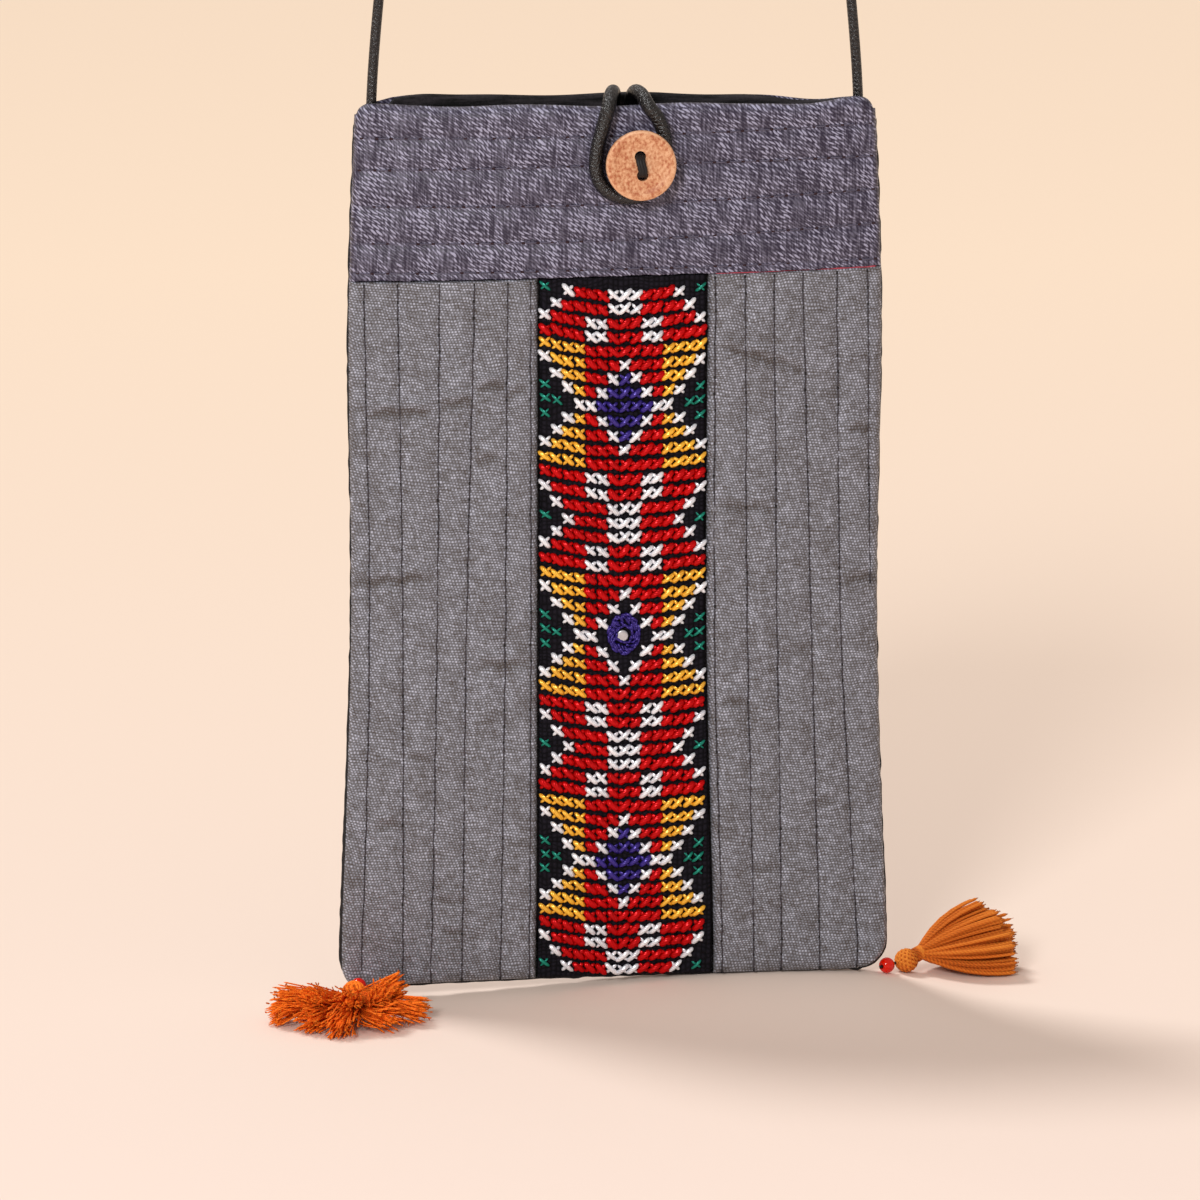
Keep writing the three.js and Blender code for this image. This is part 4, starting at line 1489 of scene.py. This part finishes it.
class BAG_OT_lining(bpy.types.Operator):
    """Makes the lining's pouch"""

    bl_idname = "sling_bag.lining"
    bl_label = "Lining"
    bl_options = {"REGISTER", "UNDO"}

    def execute(self, context):
        skins = (self.skin(LINING_FLOOR, 0.0), self.skin(LINING_DEEP, LINING_CLOTH))
        mesh = laid_mesh([(*LINING_GRID, skin) for skin in skins])
        material = lining_cotton(context.scene.sling_bag_cloth.lining)
        pouch = bag_piece("lining_pouch", mesh, material, "lining_cloth", "lining")
        return {"FINISHED"}

    def skin(self, floor, deeper):
        """One face of the pouch's cloth, from its floor to the rim where both faces meet."""

        def place(u, v):
            v = eased(v, 0.7)
            u = np.where(u > 1 - WELD, 0, u)
            in_front = u < 0.5
            left, right = sides_at(lerp(floor, MOUTH, v))
            start, end = left + LINING_SIDE, right - LINING_SIDE
            x = np.where(in_front, lerp(start, end, 2 * u), lerp(end, start, 2 * u - 1))
            rim = np.where(in_front, self.rim(x, FRONT), self.rim(x, BACK))
            up = lerp(floor, rim, v)
            closing = np.sqrt(np.clip(1 - np.clip(1 - (rim - up) / LINING_ROLL, 0, 1) ** 2, 0, 1))
            inset = GAP + LINING_CLOTH / 2 + (deeper - LINING_CLOTH / 2) * closing
            x = lerp(start + inset, end - inset, (x - start) / (end - start))
            front = -np.maximum(LINING_LEAST, hollow(x, up, FRONT) - inset)
            back = np.maximum(LINING_LEAST, hollow(x, up, BACK) - inset)
            gathered = np.clip(v / 0.02, 0, 1) ** 0.5
            return placed(x, np.where(in_front, front, back) * gathered, up)

        return place

    def rim(self, x, side):
        """The lining's upper edge: level with the band's at the back but for a slack place, else lower."""
        slack = swell(x, *RIM_SLACK) if side == BACK else FRONT_SLACK
        ends = np.clip((np.abs(x) - 40) / 9, 0, 1) ** 2
        return MOUTH + mouth_wave(x, side) + 0.2 - 0.5 * slack - 0.3 * ends


class BAG_OT_seam(bpy.types.Operator):
    """Makes the black seam down both sides and along the bottom"""

    bl_idname = "sling_bag.seam"
    bl_label = "Outer Seam"
    bl_options = {"REGISTER", "UNDO"}

    def execute(self, context):
        black = sewing_thread("black", context.scene.sling_bag_cloth.lining)
        ups = np.concatenate([np.linspace(190, 8, 90), np.linspace(6.5, BOTTOM, 14)])
        left, right = sides_at(ups)
        floor = np.linspace(left[-1], right[-1], 60)[1:-1]
        x = np.concatenate([left, floor, right[::-1]])
        up = np.concatenate([ups, bottom_edge(floor), ups[::-1]])
        route = np.column_stack([x, np.zeros_like(x), up])
        route = route + 0.08 * np.random.default_rng(4).normal(0, 1, route.shape)
        cord = tube_mesh(route, SEAM_WIDTHS, *SEAM_GRID)
        bag_piece("seam_cord", cord, black, "lining_cloth")
        bag_piece("overcast_stitch", self.overcast(route), black, "lining_cloth")
        return {"FINISHED"}

    def overcast(self, route):
        """Whipped stitches from the front, over the seam and into the back."""
        rng = np.random.default_rng(3)
        lengths = lengths_along(route)
        stops = np.arange(OVERCAST["margin"], lengths[-1] - OVERCAST["margin"], OVERCAST["every"])
        stops = stops + rng.normal(0, 0.3, len(stops))
        read = reader(np.column_stack([lengths, route]))
        here, ahead = read(stops), read(stops + OVERCAST["ahead"])
        outward = OVERCAST["inward"] * unit(np.cross((0, 1, 0), unit(read(stops + 0.5) - here)))
        aside = np.array([0, OVERCAST["aside"], 0])
        starts = here - outward - aside
        ends = ahead - outward + aside
        bends = (here + ahead) / 2 + outward
        form = strand_form(6, 8, 0.4)
        shade = rng.uniform(0, 1, len(stops))
        radius = OVERCAST["radius"]
        return strands_mesh(form, starts, bends, ends, radius, radius, (1, 0, 0.3), shade)


class BAG_OT_cords(bpy.types.Operator):
    """Makes the strap and the loop of satin cord"""

    bl_idname = "sling_bag.cords"
    bl_label = "Strap and Loop"
    bl_options = {"REGISTER", "UNDO"}

    def execute(self, context):
        satin = satin_cord(context.scene.sling_bag_trim.cord)
        strap = tube_mesh(self.strap_route(), STRAP["radius"], *STRAP_GRID)
        bag_piece("strap_cord", strap, satin, "satin_cord", "shoulder_strap")
        loop = tube_mesh(LOOP_ROUTE, LOOP_RADIUS, *LOOP_GRID)
        bag_piece("loop_cord", loop, satin, "satin_cord", "button_loop")
        return {"FINISHED"}

    def strap_route(self):
        """Straight up from each corner of the mouth and over the point that the bag hangs from."""
        foot, arch, lean = STRAP["foot"], STRAP["arch"], STRAP["lean"]
        angle = np.radians(np.linspace(-lean, 180 + lean, 25))
        top = np.column_stack([arch * np.cos(angle), 0 * angle, HANG - arch + arch * np.sin(angle)])
        strand = np.linspace(0, 1, 12, endpoint=False)[:, None]
        right = lerp(np.array([foot, 0, MOUTH]), top[0], strand)
        left = lerp(np.array([-foot, 0, MOUTH]), top[-1], strand)
        ends = [np.array([[end * foot, 0, MOUTH - STRAP["socket"]]]) for end in (1, -1)]
        return np.concatenate([ends[0], right, top, left[::-1], ends[1]])


class BAG_OT_button(bpy.types.Operator):
    """Makes the wooden button and the thread that holds it"""

    bl_idname = "sling_bag.button"
    bl_label = "Button"
    bl_options = {"REGISTER", "UNDO"}

    def execute(self, context):
        trim = context.scene.sling_bag_trim
        mesh = self.drilled(self.disc())
        bag_piece("wood_button", mesh, button_wood(trim.wood), "button_wood", "button")
        black = sewing_thread("black, button", trim.cord)
        bag_piece("button_thread_bar", self.thread(), black, "black_thread", "button_thread")
        return {"FINISHED"}

    def disc(self):
        """The turned disc, with its rim and its sunk face."""
        radius, thick = BUTTON["radius"], BUTTON["thick"]
        rim = [
            (radius - 0.7, 0), (radius - 0.3, 0.12), (radius - 0.08, 0.35), (radius, 0.65),
            (radius, thick - 0.65), (radius - 0.08, thick - 0.3), (radius - 0.3, thick - 0.06),
            (radius - 0.55, thick), (radius - 1.2, thick), (radius - 1.6, thick - 0.12),
            (radius - 2.1, thick - 0.34), (radius - 2.6, thick - 0.4),
        ]
        profile = [(0, 0), *rim, (0, thick - 0.4)]
        centre = (BUTTON["across"], -BUTTON["back"], BUTTON["up"])
        return spun_mesh(profile, (0, -1, 0), centre, 96)

    def drilled(self, mesh):
        """The disc with its two holes cut."""
        blank = bpy.data.objects.new("button_blank", mesh)
        context = bpy.context
        context.scene.collection.objects.link(blank)
        drills = []
        for end in (-1, 1):
            centre = (
                BUTTON["across"] + end * BUTTON_HOLE["shift"],
                -BUTTON["back"] - BUTTON["thick"] / 2,
                BUTTON["up"] + end * BUTTON_HOLE["apart"],
            )
            hole = [(0, -3), (BUTTON_HOLE["radius"], -3), (BUTTON_HOLE["radius"], 3), (0, 3)]
            drill = bpy.data.objects.new("drill", spun_mesh(hole, (0, -1, 0), centre, 32))
            context.scene.collection.objects.link(drill)
            cut = blank.modifiers.new("hole", "BOOLEAN")
            cut.operation, cut.solver, cut.object = "DIFFERENCE", "EXACT", drill
            drills.append(drill)
        context.view_layer.update()
        made = bpy.data.meshes.new_from_object(blank.evaluated_get(context.evaluated_depsgraph_get()))
        for tool in (blank, *drills):
            bpy.data.objects.remove(tool)
        bm = bmesh.new()
        bm.from_mesh(made)
        bpy.data.meshes.remove(made)
        bmesh.ops.remove_doubles(bm, verts=bm.verts, dist=5 * WELD)
        bmesh.ops.holes_fill(bm, edges=[edge for edge in bm.edges if edge.is_boundary], sides=0)
        drilled = finished_mesh(bm)
        drilled.set_sharp_from_angle(angle=math.radians(38))
        return drilled

    def thread(self):
        """Three turns of thread through the holes and over the bar between them."""
        radius, spread = BUTTON_THREAD["radius"], BUTTON_THREAD["spread"]
        routes = []
        for lane in (-1, 0, 1):
            legs = []
            for end in (1, -1):
                x = BUTTON["across"] + end * BUTTON_HOLE["shift"] + lane * spread
                up = BUTTON["up"] + end * BUTTON_HOLE["apart"]
                front = -BUTTON_THREAD["front"] - 0.15 * (lane == 0)
                leg = [
                    (x, -BUTTON_THREAD["from"], up),
                    (x, -BUTTON_THREAD["bend"], up),
                    (x, front, up - end * BUTTON_THREAD["turn"]),
                ]
                legs.extend(leg if end == 1 else leg[::-1])
            routes.append(tube_mesh(legs, radius, 8, 40))
        return joined(routes)


class BAG_OT_tassels(bpy.types.Operator):
    """Makes the beads, their threads and the tassels at the lower corners"""

    bl_idname = "sling_bag.tassels"
    bl_label = "Tassels"
    bl_options = {"REGISTER", "UNDO"}

    def execute(self, context):
        trim = context.scene.sling_bag_trim
        glass = bead_glass(trim.bead)
        black = sewing_thread("black, tassel", trim.cord)
        for seed, (name, tassel) in enumerate(TASSELS.items()):
            yarn = cotton_yarn(name, getattr(trim, f"tassel_{name}"))
            bead, ball = np.array(tassel["bead"]), np.array(tassel["ball"])
            along = unit(ball - bead)
            mesh = self.bead(bead, along)
            bag_piece(f"glass_bead_{name}", mesh, glass, "red_glass", f"bead_{name}")
            start = bead - along * (BEAD["radius"] + TASSEL_THREAD["spare"])
            end = ball - along * (BALL_RADIUS + GAP)
            mesh = tube_mesh([start, bead, end], TASSEL_THREAD["radius"], 8, 20)
            bag_piece(f"bead_thread_{name}", mesh, black, "black_thread", f"tassel_thread_{name}")
            bag_piece(f"tassel_head_{name}", self.head(tassel), yarn, f"tassel_yarn_{name}")
            skirt = self.skirt(tassel, trim, seed)
            bag_piece(f"tassel_skirt_{name}", skirt, yarn, f"tassel_yarn_{name}", f"tassel_{name}")
        return {"FINISHED"}

    def bead(self, centre, along):
        """A drilled bead."""
        radius, hole = BEAD["radius"], BEAD["hole"]
        arc = round_profile(radius, math.acos(hole / radius), 15)
        return spun_mesh([*arc, arc[0]], along, centre, 32)

    def head(self, tassel):
        """The ball, wound both ways with yarn, and the neck with its turns of yarn."""
        ball, neck = np.array(tassel["ball"]), np.array(tassel["neck"])
        along = unit(neck - ball)
        side = unit(np.cross(along, (0.3, 0.2, 1.0)))
        over = np.cross(along, side)
        core = BALL_RADIUS - WINDING
        parts = [spun_mesh(round_profile(core, math.pi / 2, 17), along, ball, 24)]
        for axis in (unit(side + 0.9 * along), unit(over - 0.7 * along)):
            route = self.spiral(ball, axis, core, BALL_TURNS)
            parts.append(tube_mesh(route, WINDING, 6, 300))
        inside, long = NECK_RADIUS - WINDING, np.linalg.norm(neck - ball)
        angle = np.linspace(0, 2 * math.pi * NECK_TURNS, 24 * NECK_TURNS)
        lift = np.linspace(0.6, 1.02, len(angle)) * long
        helix = ball + along * lift[:, None] + circled(angle, side, over) * inside
        parts.append(tube_mesh(helix, WINDING, 6, len(angle)))
        stem = [(0, 0), (inside, 0), (inside, long), (0, long)]
        parts.append(spun_mesh(stem, along, ball, 20))
        return joined(parts)

    def spiral(self, centre, axis, radius, turns):
        """A route wound round a ball from one pole to the other."""
        side = unit(np.cross(axis, (0.2, 0.9, 0.4)))
        over = np.cross(axis, side)
        share = np.linspace(0, 1, 26 * turns)
        fall = math.pi * lerp(0.05, 0.95, share)
        angle = 2 * math.pi * turns * share
        return centre + radius * circled(fall, axis, circled(angle, side, over))

    def skirt(self, tassel, trim, seed):
        """The locks: a core of yarn in each, its outer yarns from the neck to their cut ends, and the
        fibres that fray from them."""
        rng = np.random.default_rng(20 + seed)
        tangle, each = tassel["tangle"], round(trim.yarns / tassel["fineness"])
        locks = np.array(tassel["locks"], float)
        curl = tangle * rng.normal(0, 1, (len(locks), 3))
        cores = self.routes(tassel, locks, CORE_REACH * locks[:, 2], np.zeros_like(locks[:, :2]), curl)
        spines = [np.repeat(points, each, axis=0) for points in cores]
        wide = CORE_WIDTH * locks[:, 3]
        parts = [self.strands(strand_form(12, 14, 0.9), cores, wide, LOCK_FLAT * wide, 0.3)]

        radius = trim.yarn / MM / 2 * tassel["fineness"]
        locks, curl = np.repeat(locks, each, axis=0), np.repeat(curl, each, axis=0)
        count = len(locks)
        share = rng.uniform(0.96 - 0.1 * tangle, 1.0, count)
        locks[:, :2] += (2.5 + 1.5 * tangle) * np.clip(rng.normal(0, 1, (count, 2)), -1.5, 1.5)
        angle = rng.uniform(0, 2 * math.pi, count)
        reach = np.sqrt(rng.uniform(0.3, 1, count)) * (locks[:, 3] - radius)
        off = np.column_stack([np.cos(angle) * reach, LOCK_FLAT * np.sin(angle) * reach])
        starts, bends, ends = self.routes(tassel, locks, share * locks[:, 2], off, curl)
        bends = bends + tangle * rng.normal(0, 1, bends.shape)
        ends = ends + 0.25 * tangle * rng.normal(0, 1, ends.shape)
        thick = radius * rng.uniform(0.85, 1.12, count)
        shade = rng.uniform(0, 1, count)
        yarns = (starts, bends, ends)
        parts.append(self.strands(strand_form(6, 8, 0.12), yarns, thick, thick, shade))

        yarn = np.repeat(np.arange(count), tassel["frayed"])
        s = rng.uniform(tassel["frays_from"], 1, (len(yarn), 1))
        roots, spine = (bent(*(points[yarn] for points in curve), s) for curve in (yarns, spines))
        ahead = unit(lerp(bends - starts, ends - bends, 0.7))[yarn]
        heading = lerp(ahead, unit(roots - spine + 1e-6), 0.65 * tangle)
        heading = heading + (0.25 + 0.2 * tangle) * rng.normal(0, 1, (len(yarn), 3))
        frays = roots + heading * rng.uniform(0.15, 0.3 + 0.6 * tangle, (len(yarn), 1))
        middle = (roots + frays) / 2 + 0.12 * rng.normal(0, 1, roots.shape)
        fibre = FIBRE * (1 + 0.9 * tangle) * rng.uniform(0.8, 1.3, len(yarn))
        fibres = (roots, middle, frays)
        # the fibres take paler shades: painted light where they catch it
        parts.append(self.strands(strand_form(4, 3, 0.5), fibres, fibre, fibre, 0.7 + shade[yarn]))
        return joined(parts)

    def routes(self, tassel, locks, long, off, curl):
        """Where strands of given locks start, bend and end. off sets their ends aside and upwards."""
        neck = np.array(tassel["neck"])
        turn, rise = np.radians(locks[:, 0]), np.radians(locks[:, 1])
        ahead = np.column_stack([np.cos(rise) * np.cos(turn), np.cos(rise) * np.sin(turn), np.sin(rise)])
        side = unit(np.cross(ahead, (0, 0, 1)))
        over = np.cross(side, ahead)
        ends = neck + ahead * long[:, None] + off[:, :1] * side + off[:, 1:] * over - 0.5 * curl
        axis = unit(ahead.sum(axis=0)) if tassel["bell"] else ahead
        along = ((ends - neck) * axis).sum(axis=-1, keepdims=True) * axis
        aside = ends - neck - along
        reach = np.linalg.norm(aside, axis=-1, keepdims=True)
        starts = neck - 0.5 * axis + 0.6 * LOCK_ROOT * aside / (1 + reach)
        bends = neck + 0.38 * along + (0.45 + tassel["bell"]) * aside + 1.3 * curl
        return starts, bends, ends

    def strands(self, form, routes, wide, tall, shade):
        """Strands that lie on the floor where they would sink into it."""
        lowest = FLOOR_UP + FLOOR_GAP + np.broadcast_to(tall, len(routes[0]))
        for points in routes:
            points[:, 2] = np.maximum(points[:, 2], lowest)
        return strands_mesh(form, *routes, wide, tall, (0.13, 0.4, 0.9), shade)


class BAG_OT_stage(bpy.types.Operator):
    """Makes the floor, the light and the camera"""

    bl_idname = "sling_bag.stage"
    bl_label = "Stage"
    bl_options = {"REGISTER", "UNDO"}

    def execute(self, context):
        stage = context.scene.sling_bag_stage
        self.floor(context, stage)
        self.lights(context, stage)
        self.camera(context, stage)
        return {"FINISHED"}

    def floor(self, context, stage):
        """The floor, finest under the bag, where it rises to the right half of the bottom edge."""
        bm = bmesh.new()
        bmesh.ops.create_grid(bm, x_segments=200, y_segments=200, size=1.0)
        flat = np.array([vert.co[:2] for vert in bm.verts]).T
        x, y = lerp(FLOOR_FINE, FLOOR_WIDE, flat**4) * flat
        rise = floor_rise_at(x)[:, 0] * np.exp(-((y / FLOOR_RISE_DEEP) ** 2))
        for vert, point in zip(bm.verts, placed(x, y, lerp(FLOOR_UP, bottom_edge(x) - SEAM_LOW, rise))):
            vert.co = point
        mesh = bpy.data.meshes.new("floor")
        bm.to_mesh(mesh)
        bm.free()
        mesh.shade_smooth()
        floor = bpy.data.objects.new("floor", mesh)
        floor.data.materials.append(floor_paper(stage.near, stage.far))
        context.scene.collection.objects.link(floor)

    def lights(self, context, stage):
        """The light all round, the soft light in front and the key light behind."""
        world = bpy.data.worlds.new("studio")
        world.use_nodes = True
        tree = world.node_tree
        tree.nodes.clear()
        air = {"Color": (*stage.air, 1), "Strength": stage.air_strength}
        background = add_node(tree, "ShaderNodeBackground", {}, air)
        add_node(tree, "ShaderNodeOutputWorld", {}, {"Surface": background.outputs[0]})
        context.scene.world = world
        front = bpy.data.lights.new("front", "AREA")
        front.shape, front.size, front.energy = "DISK", FRONT_LIGHT_SIZE, stage.front_power
        key = bpy.data.lights.new("key", "SUN")
        key.angle, key.energy = math.radians(KEY_SOFTNESS), stage.key_strength
        target = Vector(placed(*LIGHT_TARGET))
        for lamp, place in ((front, FRONT_LIGHT), (key, KEY_LIGHT)):
            light = bpy.data.objects.new(lamp.name, lamp)
            light.location = placed(*place)
            light.rotation_euler = (target - light.location).to_track_quat("-Z", "Y").to_euler()
            context.scene.collection.objects.link(light)

    def camera(self, context, stage):
        """The camera, where the photograph was taken from."""
        lens = bpy.data.cameras.new("camera")
        lens.lens = stage.lens
        camera = bpy.data.objects.new("camera", lens)
        around, above = math.radians(CAMERA_AZIMUTH), math.radians(CAMERA_ELEVATION)
        level = math.cos(above)
        back = Vector((math.sin(around) * level, -math.cos(around) * level, math.sin(above)))
        camera.location = Vector(placed(*CAMERA_TARGET)) + back * CAMERA_DISTANCE
        camera.rotation_euler = (-back).to_track_quat("-Z", "Y").to_euler()
        context.scene.collection.objects.link(camera)
        context.scene.camera = camera
        context.scene.view_settings.view_transform = "Standard"


SETTINGS = {
    "sling_bag_cloth": ClothSettings,
    "sling_bag_floss": FlossSettings,
    "sling_bag_trim": TrimSettings,
    "sling_bag_stage": StageSettings,
}
OPERATORS = (
    BAG_OT_stage,
    BAG_OT_cords,
    BAG_OT_quilted_panels,
    BAG_OT_mouth_band,
    BAG_OT_embroidered_strip,
    BAG_OT_lining,
    BAG_OT_seam,
    BAG_OT_button,
    BAG_OT_tassels,
)


class BAG_PT_sewing(bpy.types.Panel):
    """Lists the pieces of the bag and their settings"""

    bl_idname = "BAG_PT_sewing"
    bl_label = "Phone Sling Bag"
    bl_space_type = "VIEW_3D"
    bl_region_type = "UI"
    bl_category = "Sling Bag"

    def draw(self, context):
        for operator in OPERATORS:
            self.layout.operator(operator.bl_idname)
        for name, group in SETTINGS.items():
            box = self.layout.box()
            for setting in group.__annotations__:
                box.prop(getattr(context.scene, name), setting)


def register():
    for group in (*SETTINGS.values(), *OPERATORS, BAG_PT_sewing):
        bpy.utils.register_class(group)
    for name, group in SETTINGS.items():
        setattr(bpy.types.Scene, name, PointerProperty(type=group))


def unregister():
    for name in SETTINGS:
        delattr(bpy.types.Scene, name)
    for group in reversed((*SETTINGS.values(), *OPERATORS, BAG_PT_sewing)):
        bpy.utils.unregister_class(group)


def main():
    register()
    for operator in OPERATORS:
        group, name = operator.bl_idname.split(".")
        getattr(getattr(bpy.ops, group), name)()


if __name__ == "__main__":
    main()
